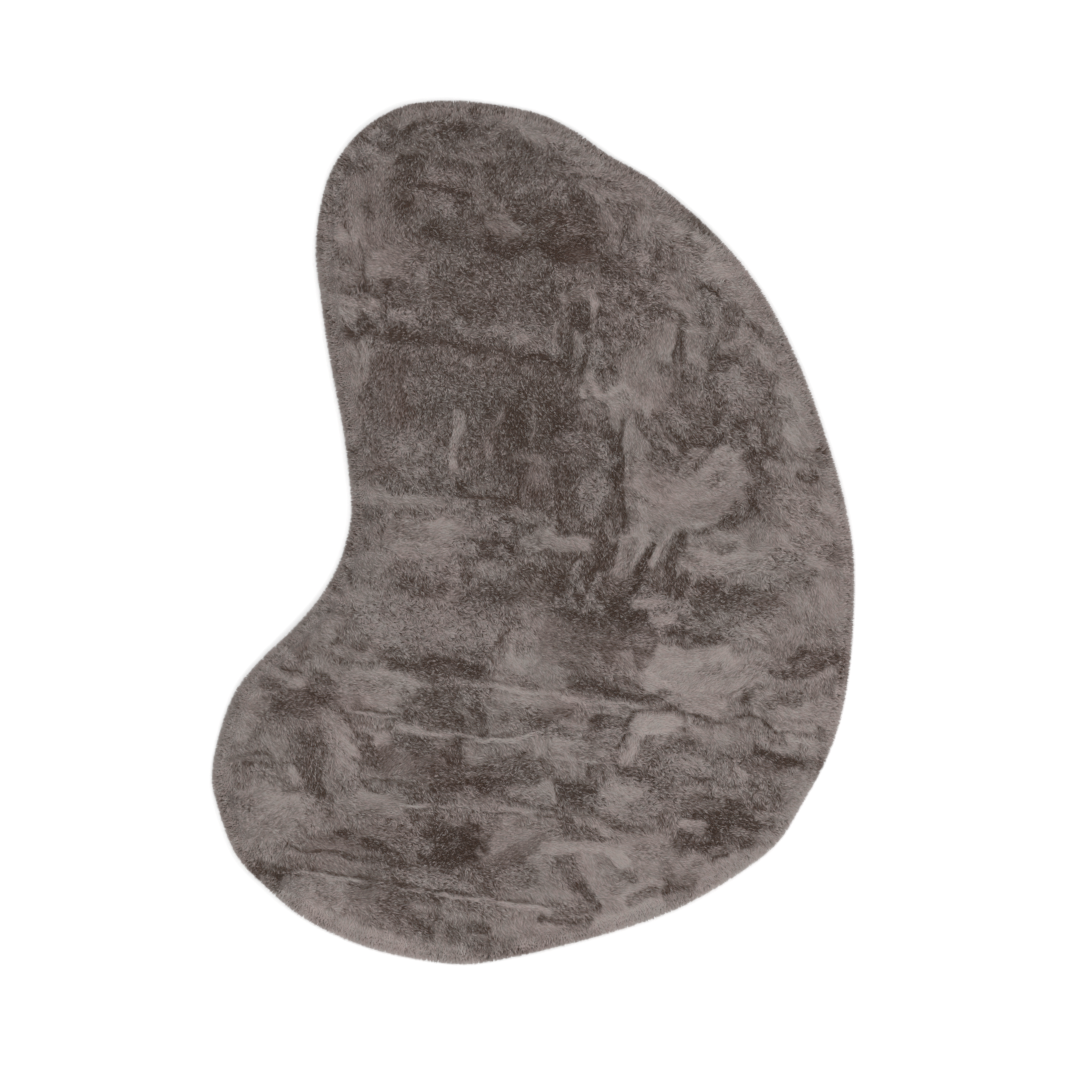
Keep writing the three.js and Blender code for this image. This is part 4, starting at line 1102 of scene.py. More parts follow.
    ("dusky", 324, 708, 340, 720, 12, 0.4),
    ("dusky", 372, 866, 388, 872, 12, 0.5),
    ("dusky", 400, 872, 424, 864, 12, 0.35),
    ("granular", 306, 884, 344, 890, 24, 0.35),
    ("dusky", 286, 880, 296, 876, 10, 0.4),
    ("dusky", 566, 928, 582, 930, 12, 0.4),
    ("granular", 546, 858, 562, 884, 12, 0.4),
    ("dusky", 614, 890, 622, 882, 12, 0.4),
    ("dusky", 688, 884, 696, 866, 12, 0.4),
    ("dusky", 612, 814, 636, 810, 12, 0.4),
    ("dusky", 764, 594, 784, 596, 14, 0.35),
    ("dusky", 794, 592, 802, 582, 12, 0.35),
    ("dusky", 684, 556, 694, 564, 12, 0.4),
    ("dusky", 534, 612, 548, 610, 12, 0.4),
    ("dusky", 630, 742, 634, 728, 10, 0.3),
    ("dusky", 526, 546, 536, 542, 12, 0.4),
    ("dusky", 802, 768, 808, 758, 10, 0.4),
    ("dusky", 816, 710, 824, 704, 12, 0.35),
    ("granular", 264, 812, 286, 840, 20, 0.3),
    ("dusky", 478, 948, 500, 942, 12, 0.3),
    ("brown", 456, 956, 486, 956, 10, 0.3),
    ("dusky", 436, 774, 462, 774, 11, 0.5),
    ("dusky", 572, 748, 592, 750, 11, 0.5),
    ("dusky", 404, 652, 418, 658, 10, 0.45),
    ("dusky", 480, 892, 496, 898, 10, 0.5),
    ("sleek", 470, 772, 496, 774, 9, 0.5),
    ("dusky", 590, 590, 600, 580, 11, 0.45),
    ("dusky", 424, 946, 440, 952, 12, 0.4),
    ("dusky", 488, 758, 500, 756, 10, 0.5),
    ("dusky", 601, 762, 603, 785, 8, 0.45),
    ("dusky", 484, 702, 506, 708, 10, 0.45),
    ("sleek", 418, 704, 428, 722, 10, 0.4),
    ("sleek", 690, 547, 745, 548, 10, 0.35),
    ("sleek", 604, 814, 640, 826, 14, 0.25),
]

# The lie of the pile where no mark changes it: tone, lay, tuft, warmth, rise, and the comb's direction in
# degrees.
PLAIN_NAP = (0.47, 0.50, 0.40, 0.50, 0.0, -100.0)

# Layers of noise. Columns: pitch in millimetres, swing.
WANDER = [(42.0, 5.0), (15.0, 2.5)]  # of the marks' borders, in millimetres
RAGGED = [(27.0, 0.34), (10.0, 0.22)]  # of the marks' borders, as a share of the marks' half width
MOTTLE = [(18.0, 0.35), (8.0, 0.30)]  # of how much the marks thin out, about MEAN_MOTTLE
COMB_X = [(140.0, 0.35)]  # of the comb's direction where no mark changes it
COMB_Y = [(110.0, 0.30)]
TONE_NOISE = [(120.0, 0.05), (34.0, 0.08)]  # of the tone
TUFT_NOISE = [(17.0, 0.22), (9.0, 0.18)]  # of the tone where the pile is tufted
LAY_NOISE = [(60.0, 0.12)]
WARMTH_NOISE = [(80.0, 0.35), (25.0, 0.15)]

# Where each noise starts among the random numbers. Further layers take the next ones.
SEEDS = {
    "lumps": 0, "clumps": 77, "wander x": 301, "tone": 305, "comb x": 309, "comb y": 310, "wander y": 311,
    "lay": 321, "warmth": 322, "ragged": 331, "mottle": 341, "streaks": 351, "tufts": 361, "painted_crease_light_and_shade": 371,
    "ripple": 381, "crinkle mask": 391,
}
MEAN_MOTTLE = 0.5
RAGGED_FROM = 13.0  # half the width, in millimetres, from which a mark is fully ragged
MARK_REACH = 1.6  # how far from its middle line a mark is worked out, in half widths

# Crinkled creases: fine creases painted into the tone as a line of painted shade with a painted highlight
# beside
# it, which come and go. Columns: pitch in millimetres, width as a share of the noise they follow, swing of
# the tone.
PAINTED_CREASES = [(30.0, 0.07, 0.26), (17.0, 0.09, 0.20)]
CRINKLE_RIPPLE = (2.3, 0.4)  # how much finer and how strong the noise is that bends them
CRINKLE_MASK = (60.0, -0.2, 0.5)  # pitch in millimetres, the noise from which they show, and show in full
CREASE_PAINTED_HIGHLIGHT = (2.2, 0.6)  # how far off the painted highlight beside each crease lies, in widths, and how strong it is

# Streaks in the direction of the comb. Columns: pitch and reach in millimetres, swing of the tone.
STREAKS = [(5.0, 9.0, 0.06), (14.0, 60.0, 0.24)]
STREAK_STEPS = 4
STREAK_GAIN = 1.8  # what the mean of the noise along a streak is raised by

TUFT_NOISE_LEFT = 0.05  # what is left of it where the pile is least tufted
PAINTED_CREASES_LEFT = 0.20
STREAKS_LEFT = 0.30  # what is left of them where the pile is least flat

LEAST_LEAN = 10.0  # degrees between an upright lock and the vertical
MOST_LEAN = 76.0  # degrees between a lock that lies flat and the vertical
MEAN_LAY = 0.5
MEAN_TONE = 0.47
TONE_SPREAD = 1.37  # how far tones are spread about the mean once all marks are laid

# How uneven locks are: the least and most of a share, or the spread of an angle in radians.
PILE_LENGTHS = (0.80, 1.15)
RIM_LENGTHS = (0.82, 1.12)
LOCK_WIDTHS = (0.75, 1.15)
LEAN_SPREAD = 0.12
COMB_SPREAD = 0.24
COMB_STEADY = 0.6  # how much less the comb spreads where the pile lies flat
RIM_SIDE_SPREAD = 0.30

# What locks have in even and in tufted pile.
TONE_JITTER = (0.03, 0.25)  # spread of the tone from lock to lock
WIDTH_SHARE = (1.2, 0.95)
FACET_SPREAD = (0.05, 0.62)  # spread of the tone from face to face of a lock

PILE_SEED = 11
RIM_SEED = 12
LOCKS_PER_PIECE = 48000
ROOT_DEPTH = 0.8  # how deep the locks' roots sit in the ground cloth, in millimetres
FLOOR_GAP = 0.15  # how far the lowest pile stays over the floor, in millimetres

CLUMP_STRETCH = 1.25  # the square root of a clump's length along the comb over its width
CLUMP_CREASE = 0.22  # how wide the painted shade in the creases between clumps is, as a share of the clumps' pitch
CLUMP_TURN = 2.4  # how far a clump's locks turn from the comb, both ways together, in radians
CLUMP_PULL = 0.45  # how far the tips are drawn towards the clump's middle
CLUMP_TONE = (0.14, 0.46, 0.32)  # how much lighter clumps are, how much painted shade darkens them where they meet, and how unlike one another they are

# The field's border, where the pile turns outwards.
BORDER_WIDTH = 18.0  # millimetres
BORDER_OUT = 0.72  # the outward and the upward part of its direction
BORDER_UP = 0.69
BORDER_EVEN = 0.7  # how much less tufted it is
FIELD_OVERLAP = 1.0  # how far the field's locks reach into the rim, in millimetres

RIM_RADIUS = 15.0  # how far in the ground cloth rounds over, in millimetres
RIM_FULLNESS = 0.7  # the power that makes its quarter ellipse fuller
RIM_RINGS = 8
RIM_ROWS = 15
RIM_TURNS = (0.02, 0.985)  # where the first and the last locks sit, as shares of its quarter turn
RIM_LOWEST = 1.2  # the height of the lowest roots, in millimetres
RIM_UPWARD = 0.55  # how far the locks point up, as a share of the angle still to turn
RIM_TONE = 0.51  # the tone to which the pile keeps at the rim
RIM_PAINTED_LIGHT = 0.34  # painted light and shade: how much lighter the rim is on its front side, towards -y, and darker on its back side
RIM_TONE_SHARE = (0.05, 0.20)  # how far it keeps to it at the top, and how much more for each radian of turn
RIM_BLUR = 4.0  # how far the marks spread at the rim, in millimetres
RIM_TUFT = (0.25, 0.85)  # how tufted it is beside even and tufted pile
RIM_EVEN = 0.8  # how much less tufted it is in the end
RIM_EVEN_TURNS = (0.4, 1.1)  # the turns, in radians, between which it gets so


def smoothstep(value, low, high):
    """0 below low, 1 above high, and 3 t^2 - 2 t^3 between them."""
    t = np.clip((value - low) / (high - low), 0.0, 1.0)
    return t * t * (3.0 - 2.0 * t)


def mix(a, b, share):
    """a where share is 0 and b where it is 1."""
    return a + (b - a) * share


def unit(vectors):
    """Each row of an array at length 1."""
    return vectors / np.linalg.norm(vectors, axis=1)[:, None]


def hashed(n):
    """A steady random number from 0 to 1 for each whole number: the fraction of a large sine."""
    wave = np.sin(n * 127.1 + 311.7) * 43758.5453
    return wave - np.floor(wave)


def noise(x, y, seed):
    """Smooth noise from -1 to 1: random values on a square lattice, blended between lattice points."""
    column, row = np.floor(x), np.floor(y)
    across = smoothstep(x - column, 0, 1)
    along = smoothstep(y - row, 0, 1)

    def at(i, j):
        return hashed((column + i) * 57.3 + (row + j) * 131.9 + seed)

    lower = mix(at(0, 0), at(1, 0), across)
    upper = mix(at(0, 1), at(1, 1), across)
    return 2.0 * mix(lower, upper, along) - 1.0


def layered(x, y, layers, seed, step=1):
    """Noise in layers: for each row of a table, noise at its pitch times its swing, all added up."""
    total = np.zeros_like(x)
    for i, (pitch, swing) in enumerate(layers):
        total += swing * noise(x / pitch, y / pitch, seed + step * i)
    return total


def edge_curve(per_span=40):
    """The edge as a closed centripetal Catmull-Rom curve through EDGE, in millimetres, fitted to the solid's
    box: cubic Hermite spans whose end tangents come from the points beside them and the chords' roots."""
    p0, p1, p2, p3 = (np.roll(EDGE, shift, axis=0) for shift in (1, 0, -1, -2))
    d0, d1, d2 = (np.sqrt(np.linalg.norm(b - a, axis=1))[:, None] for a, b in ((p0, p1), (p1, p2), (p2, p3)))
    m1 = ((p1 - p0) / d0 - (p2 - p0) / (d0 + d1) + (p2 - p1) / d1) * d1
    m2 = ((p2 - p1) / d1 - (p3 - p1) / (d1 + d2) + (p3 - p2) / d2) * d1
    t = np.linspace(0, 1, per_span, endpoint=False)[None, :, None]
    p1, p2, m1, m2 = (a[:, None, :] for a in (p1, p2, m1, m2))
    points = (
        (2 * t**3 - 3 * t**2 + 1) * p1 + (t**3 - 2 * t**2 + t) * m1
        + (3 * t**2 - 2 * t**3) * p2 + (t**3 - t**2) * m2
    ).reshape(-1, 2)
    low, high = points.min(0), points.max(0)
    points -= (low + high) / 2
    solid = np.array([CAD_BOX[1][i] - CAD_BOX[0][i] for i in (0, 1)]) / MM
    return points * (solid - LOCK_MARGIN) / (high - low)


class Edge:
    """The rug's edge seen from HEART: its radius and its outward direction at every angle."""

    def __init__(self):
        self.points = edge_curve()
        from_heart = self.points - HEART
        angle = np.arctan2(from_heart[:, 1], from_heart[:, 0])
        order = np.argsort(angle)
        tangent = unit(np.roll(self.points, -1, axis=0) - np.roll(self.points, 1, axis=0))
        outward = np.stack([tangent[:, 1], -tangent[:, 0]], 1)
        radius = np.linalg.norm(from_heart, axis=1)
        self.angle = angle[order]
        self.radius = radius[order]
        self.facing = ((outward * from_heart).sum(1) / radius)[order]
        self.outward = outward[order]
        steps = np.linalg.norm(np.roll(self.points, -1, axis=0) - self.points, axis=1)
        self.length = steps.sum()
        self.run = np.concatenate([[0.0], np.cumsum(steps)])

    def at(self, table, angle):
        """A table of the edge's points, read between them at any angle."""
        return np.interp(angle, self.angle, table, period=2 * math.pi)

    def gap(self, x, y):
        """About how far inside the edge a point lies: its radial distance times the edge's facing."""
        dx, dy = x - HEART[0], y - HEART[1]
        angle = np.arctan2(dy, dx)
        return (self.at(self.radius, angle) - np.hypot(dx, dy)) * self.at(self.facing, angle)

    def direction(self, x, y):
        """The outward direction of the edge beyond a point."""
        angle = np.arctan2(y - HEART[1], x - HEART[0])
        return unit(np.stack([self.at(self.outward[:, 0], angle), self.at(self.outward[:, 1], angle)], 1))

    def along(self, run):
        """The edge's points at distances along it, in millimetres."""
        closed = np.vstack([self.points, self.points[:1]])
        run = np.mod(run, self.length)
        return np.stack([np.interp(run, self.run, closed[:, i]) for i in (0, 1)], 1)


def fold_height(x, y):
    """How far the folds raise or lower the pile: for each, a bell-shaped trough and a crest beside it, which
    fade out at the fold's ends."""
    total = np.zeros_like(x)
    for from_x, from_y, to_x, to_y, bow, width, depth, crest in FOLDS:
        run = math.hypot(to_x - from_x, to_y - from_y)
        ax, ay = (to_x - from_x) / run, (to_y - from_y) / run
        dx, dy = x - from_x, y - from_y
        share = (dx * ax + dy * ay) / run
        across = (ax * dy - ay * dx - bow * 4 * share * (1 - share)) / width
        fade = math.prod(smoothstep(end, -FOLD_FADE, 2 * FOLD_FADE) for end in (share, 1 - share))
        total += fade * (crest * np.exp(-((across - CREST_OFFSET) ** 2)) - depth * np.exp(-across * across))
    return total


def pile_top(x, y, height):
    """The pile's mean top over the floor, away from the rim: its height, the lumps and the folds."""
    return height + layered(x, y, LUMPS, SEEDS["lumps"], LUMP_SEED_STEP) + fold_height(x, y)


def drawn(x, y):
    """A point of the drawing in millimetres from the rug's middle."""
    return (x - DRAWING_MIDDLE[0]) * DRAWING_UNIT, (DRAWING_MIDDLE[1] - y) * DRAWING_UNIT


def lay_mark(lie, mark, x, y, ragged, thin):
    """Mixes one mark over the nap. Its share is its strength where the distance from its bowed middle line,
    over half its width, is small, and falls softly to 0 about 1. Outside, a bell-shaped shade follows it."""
    kind, from_x, from_y, to_x, to_y, width, strength, *bent = mark
    bow, turn = (*bent, 0, 0)[:2]
    *kind_lie, soft, mottle, shade = KINDS[kind]
    (ax, ay), (bx, by) = drawn(from_x, from_y), drawn(to_x, to_y)
    run = math.hypot(bx - ax, by - ay)
    along_x, along_y = (bx - ax) / run, (by - ay) / run
    half = width * DRAWING_UNIT / 2
    lift = bow * DRAWING_UNIT * 4
    reach = run / 2 + half * (MARK_REACH + soft) + abs(lift) / 4
    near = np.flatnonzero(np.hypot(x - (ax + bx) / 2, y - (ay + by) / 2) < reach)
    dx, dy = x[near] - ax, y[near] - ay
    forward = dx * along_x + dy * along_y
    share = np.clip(forward / run, 0, 1)
    across = along_x * dy - along_y * dx - lift * share * (1 - share)
    apart = np.hypot(forward - share * run, across) / half + ragged[near] * min(1.0, half / RAGGED_FROM)
    cover = strength * (1 - smoothstep(apart, 1 - soft, 1 + soft)) * (1 - mottle * thin[near])
    way = math.radians(turn) + math.atan2(along_y, along_x) + np.arctan(lift * (1 - 2 * share) / run)
    goal = np.vstack([np.repeat(np.array(kind_lie)[:, None], len(near), 1), np.cos(way), np.sin(way)])
    lie[:, near] = mix(lie[:, near], goal, cover)
    past = ((apart - 1) * half - BORDER_SHADE[0]) / BORDER_SHADE[1]
    lie[0, near] -= shade * strength * thin[near] * np.exp(-past * past)


def nap(x, y):
    """How the pile lies at each point: tone, lay, tuft, warmth, rise and comb direction. The marks are mixed
    over the plain nap in turn, at places that noise shifts a little, so that their borders are uneven. Then
    the tone, the pile's painted light and shade, is spread about its mean, and noise, crinkled creases of
    painted shade and light, and streaks are added."""
    wander_x = x + layered(x, y, WANDER, SEEDS["wander x"])
    wander_y = y + layered(x, y, WANDER, SEEDS["wander y"])
    ragged = layered(x, y, RAGGED, SEEDS["ragged"])
    thin = np.clip(MEAN_MOTTLE + layered(x, y, MOTTLE, SEEDS["mottle"]), 0, 1)
    lie = np.empty((7, len(x)))
    lie[:5] = np.array(PLAIN_NAP[:5])[:, None]
    lie[5] = math.cos(math.radians(PLAIN_NAP[5])) + layered(x, y, COMB_X, SEEDS["comb x"])
    lie[6] = math.sin(math.radians(PLAIN_NAP[5])) + layered(x, y, COMB_Y, SEEDS["comb y"])
    for mark in MARKS:
        lay_mark(lie, mark, wander_x, wander_y, ragged, thin)
    lie[0] = MEAN_TONE + TONE_SPREAD * (lie[0] - MEAN_TONE)
    lie[0] += layered(x, y, TONE_NOISE, SEEDS["tone"])
    lie[0] += mix(TUFT_NOISE_LEFT, 1, lie[2]) * layered(x, y, TUFT_NOISE, SEEDS["tufts"])
    # Fine creases of painted shade, with painted highlights beside them.
    lie[0] += mix(PAINTED_CREASES_LEFT, 1, lie[2]) * painted_crease_light_and_shade(x, y)
    comb = np.arctan2(lie[6], lie[5])
    for pitch, reach, swing in STREAKS:
        lie[0] += swing * streaks(x, y, comb, pitch, reach) * mix(STREAKS_LEFT, 1, lie[1])
    lie[1] += layered(x, y, LAY_NOISE, SEEDS["lay"])
    lie[3] += layered(x, y, WARMTH_NOISE, SEEDS["warmth"])
    return (*np.clip(lie[:4], 0, 1), lie[4], comb)


def painted_crease_light_and_shade(x, y):
    """Where rippled noise passes through 0, a bell-shaped line of painted shade with a painted highlight
    beside it, masked by broader noise."""
    total = np.zeros_like(x)
    finer, strength = CRINKLE_RIPPLE
    mask_pitch, none, full = CRINKLE_MASK
    for i, (pitch, width, swing) in enumerate(PAINTED_CREASES):
        ripple = strength * noise(finer * x / pitch, finer * y / pitch, SEEDS["ripple"] + i)
        wave = noise(x / pitch, y / pitch, SEEDS["painted_crease_light_and_shade"] + i) + ripple
        mask = smoothstep(noise(x / mask_pitch, y / mask_pitch, SEEDS["crinkle mask"] + i), none, full)
        # Painted shade along each crease, and a painted highlight beside it.
        crease = np.exp(-((wave / width) ** 2))
        side = np.exp(-((wave / width - CREASE_PAINTED_HIGHLIGHT[0]) ** 2))
        total += swing * mask * (CREASE_PAINTED_HIGHLIGHT[1] * side - crease)
    return total


def streaks(x, y, comb, pitch, reach):
    """Streaks that run with the comb: fine noise averaged over points before and behind, and raised."""
    steps = np.linspace(-1, 1, 2 * STREAK_STEPS + 1) * reach
    runs = [
        noise((x + step * np.cos(comb)) / pitch, (y + step * np.sin(comb)) / pitch, SEEDS["streaks"])
        for step in steps
    ]
    return np.mean(runs, axis=0) * STREAK_GAIN


def lean_of(lay):
    """The angle between a lock and the upright, from the least where it stands to the most where it lies."""
    return np.radians(mix(LEAST_LEAN, MOST_LEAN, lay))


def cloth_height(x, y, sizes):
    """The ground cloth's top: the pile's top less what a lock of mean lay reaches over it."""
    return pile_top(x, y, sizes.pile_height / MM) - sizes.lock_length / MM * math.cos(lean_of(MEAN_LAY))


def rounded(level, turn):
    """The ground cloth's height where its rim has turned from the top, 0, to the floor, a right angle: the
    level there times a power of the cosine of the turn, a quarter of a full ellipse."""
    return level * np.cos(turn) ** RIM_FULLNESS


def clumps(x, y, comb, pitch, seed):
    """The nearest clump centre to each point and how much farther the next one is: each square of the pitch
    has one centre, at a random place, and distances along the comb count for less."""
    column, row = np.floor(x / pitch), np.floor(y / pitch)
    best, second = np.full(len(x), 1e9), np.full(len(x), 1e9)
    best_x, best_y = np.zeros(len(x)), np.zeros(len(x))
    for i in (-2, -1, 0, 1, 2):
        for j in (-2, -1, 0, 1, 2):
            c, r = column + i, row + j
            centre_x = (c + hashed(c * 12.9 + r * 78.2 + seed)) * pitch
            centre_y = (r + hashed(c * 39.3 + r * 11.1 + seed + 5)) * pitch
            dx, dy = x - centre_x, y - centre_y
            along = dx * np.cos(comb) + dy * np.sin(comb)
            gap = np.hypot(along / CLUMP_STRETCH, (dy * np.cos(comb) - dx * np.sin(comb)) * CLUMP_STRETCH)
            nearer = gap < best
            second = np.where(nearer, best, np.minimum(second, gap))
            best = np.where(nearer, gap, best)
            best_x = np.where(nearer, centre_x, best_x)
            best_y = np.where(nearer, centre_y, best_y)
    return best_x, best_y, second - best


def length_setting(name, description, default):
    """A length in metres that the panel shows."""
    return bpy.props.FloatProperty(name=name, description=description, default=default, unit="LENGTH")


def colour_setting(name, description, default):
    """A colour that the panel shows."""
    return bpy.props.FloatVectorProperty(
        name=name, description=description, subtype="COLOR", size=3, default=default, min=0, max=1
    )


class RugSizes(bpy.types.PropertyGroup):
    pile_height: length_setting("Pile height", "Floor to the mean top of the pile", 0.023)
    lock_length: length_setting("Lock length", "Length of a lock of pile above the ground cloth", 0.0082)
    lock_width: length_setting("Lock width", "Width of a lock at its root", 0.0026)
    lock_spacing: length_setting("Lock spacing", "Distance between the roots of neighbouring locks", 0.0025)
    rim_lock_length: length_setting("Rim lock length", "Length of the lowest locks at the rim", 0.0092)
    clump_pitch: length_setting("Clump pitch", "Distance between clumps where the pile is tufted", 0.0088)
    rim_inset: length_setting("Rim inset", "How far the cloth's edge lies inside the pile's edge", 0.0052)
    field_steps: bpy.props.IntProperty(
        name="Field steps", description="Squares along each side of the cloth's grid", default=160, min=20
    )


class RugColours(bpy.types.PropertyGroup):
    # The light colours are the pile in painted light, where it is brushed flat, and the dark ones the pile in
    # painted shade, where it stands up. Roots are darker than tips, partly their own browner colour and
    # partly painted shade deep in the pile.
    tip_painted_light: colour_setting("Light tips", "Tips of pile brushed flat", (0.507, 0.452, 0.444))
    tip_painted_shade: colour_setting("Dark tips", "Tips of pile that stands up", (0.105, 0.060, 0.041))
    root_painted_light: colour_setting("Light roots", "Roots of pile brushed flat", (0.425, 0.374, 0.358))
    root_painted_shade: colour_setting("Dark roots", "Roots of pile that stands up", (0.050, 0.028, 0.018))
    warm_tint: colour_setting("Warm tint", "What rosy brown locks are multiplied by", (1.0, 0.94, 0.92))
    cool_tint: colour_setting("Cool tint", "What olive grey locks are multiplied by", (0.95, 0.98, 0.95))
    backing: colour_setting("Underside", "Knitted ground cloth under the rug", (0.30, 0.27, 0.25))


def new_mesh(name, points, faces, material):
    """A mesh object from an array of points in millimetres and an array, or a list, of faces."""
    mesh = bpy.data.meshes.new(name)
    if isinstance(faces, np.ndarray):
        mesh.vertices.add(len(points))
        mesh.vertices.foreach_set("co", (points * MM).astype(np.float32).ravel())
        corners = faces.shape[1]
        mesh.loops.add(faces.size)
        mesh.loops.foreach_set("vertex_index", faces.astype(np.int32).ravel())
        mesh.polygons.add(len(faces))
        mesh.polygons.foreach_set("loop_start", np.arange(0, faces.size, corners, dtype=np.int32))
        mesh.update(calc_edges=True)
    else:
        mesh.from_pydata((points * MM).tolist(), [], faces)
    mesh.validate()
    mesh.materials.append(material)
    piece = bpy.data.objects.new(name, mesh)
    bpy.context.scene.collection.objects.link(piece)
    return piece


def new_shader(name, roughness):
    """A material's node tree and its surface shader."""
    material = bpy.data.materials.new(name)
    material.use_nodes = True
    shader = material.node_tree.nodes["Principled BSDF"]
    shader.inputs["Roughness"].default_value = roughness
    return material, material.node_tree, shader


def mixed(tree, share, first, second, blend="MIX"):
    """A colour mixed from two sockets or colours by a share, a socket or a number."""
    node = tree.nodes.new("ShaderNodeMix")
    node.data_type = "RGBA"
    node.blend_type = blend
    for socket, value in ((node.inputs[0], share), (node.inputs[6], first), (node.inputs[7], second)):
        if isinstance(value, bpy.types.NodeSocket):
            tree.links.new(value, socket)
        elif isinstance(value, float):
            socket.default_value = value
        else:
            socket.default_value = (*value, 1)
    return node.outputs[2]


def reckoned(tree, operation, first, second=0.0):
    """The result of a Math node on a socket and a number."""
    node = tree.nodes.new("ShaderNodeMath")
    node.operation = operation
    tree.links.new(first, node.inputs[0])
    node.inputs[1].default_value = second
    return node.outputs[0]


def pile_material(colours):
    """Plush pile. The map's first coordinate runs from dark to light: from painted shade where the pile
    stands up to painted light where it is brushed flat. The lower half of the second runs from root to tip of
    cool locks, and the upper half from root to tip of warm ones. Roots are darker than tips, partly their own
    browner colour and partly painted shade deep in the pile."""
    made = bpy.data.materials.get("plush_pile_locks")
    if made:
        return made
    material, tree, shader = new_shader("plush_pile_locks", 0.75)
    place = tree.nodes.new("ShaderNodeUVMap")
    place.uv_map = "OFBake"
    parts = tree.nodes.new("ShaderNodeSeparateXYZ")
    tree.links.new(place.outputs[0], parts.inputs[0])
    tone = parts.outputs[0]
    warm = reckoned(tree, "GREATER_THAN", parts.outputs[1], 0.5)
    share = reckoned(tree, "FRACT", reckoned(tree, "MULTIPLY", parts.outputs[1], 2.0))
    root = mixed(tree, tone, colours.root_painted_shade, colours.root_painted_light)
    tip = mixed(tree, tone, colours.tip_painted_shade, colours.tip_painted_light)
    tint = mixed(tree, warm, colours.cool_tint, colours.warm_tint)
    colour = mixed(tree, 1.0, mixed(tree, share, root, tip), tint, "MULTIPLY")
    tree.links.new(colour, shader.inputs["Base Color"])
    shader.inputs["Specular IOR Level"].default_value = 0.15
    shader.inputs["Sheen Weight"].default_value = 0.10
    shader.inputs["Sheen Roughness"].default_value = 0.45
    return material


def textured(tree, kind, **settings):
    """The first result of a texture node over the object's own coordinates, with its inputs set by name."""
    node = tree.nodes.new(kind)
    for name, value in settings.items():
        node.inputs[name].default_value = value
    place = tree.nodes.new("ShaderNodeTexCoord")
    tree.links.new(place.outputs["Object"], node.inputs["Vector"])
    return node.outputs[0]


def add_relief(tree, shader, height, distance, strength=1.0):
    """Gives a surface fine relief from a height: the most that it stands out in metres, and how strongly."""
    bump = tree.nodes.new("ShaderNodeBump")
    bump.inputs["Distance"].default_value = distance
    bump.inputs["Strength"].default_value = strength
    tree.links.new(height, bump.inputs["Height"])
    tree.links.new(bump.outputs[0], shader.inputs["Normal"])


def dimmed(colour, share):
    """A colour at a share of its lightness."""
    return tuple(share * c for c in colour)


def cloth_material(colours):
    """Dense underfur on top of the ground cloth, with the same painted light and shade as the pile over it, a
    little darker.
    """
    material, tree, shader = new_shader("plush_ground_cloth", 0.9)
    tone = tree.nodes.new("ShaderNodeAttribute")
    tone.attribute_name = "tone"
    grain = textured(tree, "ShaderNodeTexNoise", Scale=260, Detail=4)
    light = mixed(tree, grain, dimmed(colours.root_painted_light, 0.6), colours.root_painted_light)
    tree.links.new(mixed(tree, tone.outputs["Fac"], colours.root_painted_shade, light), shader.inputs["Base Color"])
    add_relief(tree, shader, grain, distance=0.002, strength=0.6)
    return material


def knit_material(colours):
    """Underside: fine knitted rows, a little uneven in colour."""
    material, tree, shader = new_shader("plush_underside_knit", 0.95)
    rows = textured(tree, "ShaderNodeTexWave", Scale=110, Distortion=1.5)
    colour = mixed(tree, rows, dimmed(colours.backing, 0.75), colours.backing)
    tree.links.new(colour, shader.inputs["Base Color"])
    add_relief(tree, shader, rows, distance=0.0006)
    return material


def cloth_surface(edge, sizes):
    """The ground cloth's points and faces. The top is a square grid drawn over the shape: a point (a, b) of
    the square goes to the disc point (a sqrt(1 - b^2/2), b sqrt(1 - a^2/2)), whose radius is stretched to the
    edge. The rim is rings down a quarter of a full ellipse, and the underside is one flat face."""
    steps = sizes.field_steps
    inset = sizes.rim_inset / MM
    line = np.linspace(-1, 1, steps + 1)
    a, b = np.meshgrid(line, line)
    disc_x = a * np.sqrt(1 - b * b / 2)
    disc_y = b * np.sqrt(1 - a * a / 2)
    angle = np.arctan2(disc_y, disc_x)
    reach = edge.at(edge.radius, angle) - (inset + RIM_RADIUS) / edge.at(edge.facing, angle)
    radius = reach * np.hypot(disc_x, disc_y)
    x = (HEART[0] + radius * np.cos(angle)).ravel()
    y = (HEART[1] + radius * np.sin(angle)).ravel()
    top = np.stack([x, y, cloth_height(x, y, sizes)], 1)
    number = np.arange((steps + 1) ** 2).reshape(steps + 1, steps + 1)
    squares = [number[:-1, :-1], number[:-1, 1:], number[1:, 1:], number[1:, :-1]]
    squares = np.stack(squares, -1).reshape(-1, 4)
    outline = np.concatenate([number[0, :-1], number[:-1, -1], number[-1, :0:-1], number[:0:-1, 0]])
    around = len(outline)
    start = top[outline]
    out = edge.direction(start[:, 0], start[:, 1])
    turn = np.linspace(0, math.pi / 2, RIM_RINGS + 1)[1:, None, None]
    ring_xy = start[None, :, :2] + out[None] * RIM_RADIUS * np.sin(turn)
    ring_z = np.maximum(rounded(start[None, :, 2:3], turn), 0.0) + 0 * ring_xy[..., :1]
    rings = np.concatenate([ring_xy, ring_z], -1).reshape(-1, 3)
    first = np.concatenate([outline, len(top) + np.arange(RIM_RINGS * around)]).reshape(RIM_RINGS + 1, around)
    upper, lower = first[:-1], first[1:]
    bands = np.stack([upper, lower, np.roll(lower, -1, 1), np.roll(upper, -1, 1)], -1).reshape(-1, 4)
    return np.vstack([top, rings]), np.vstack([squares, bands]), first[-1][::-1]


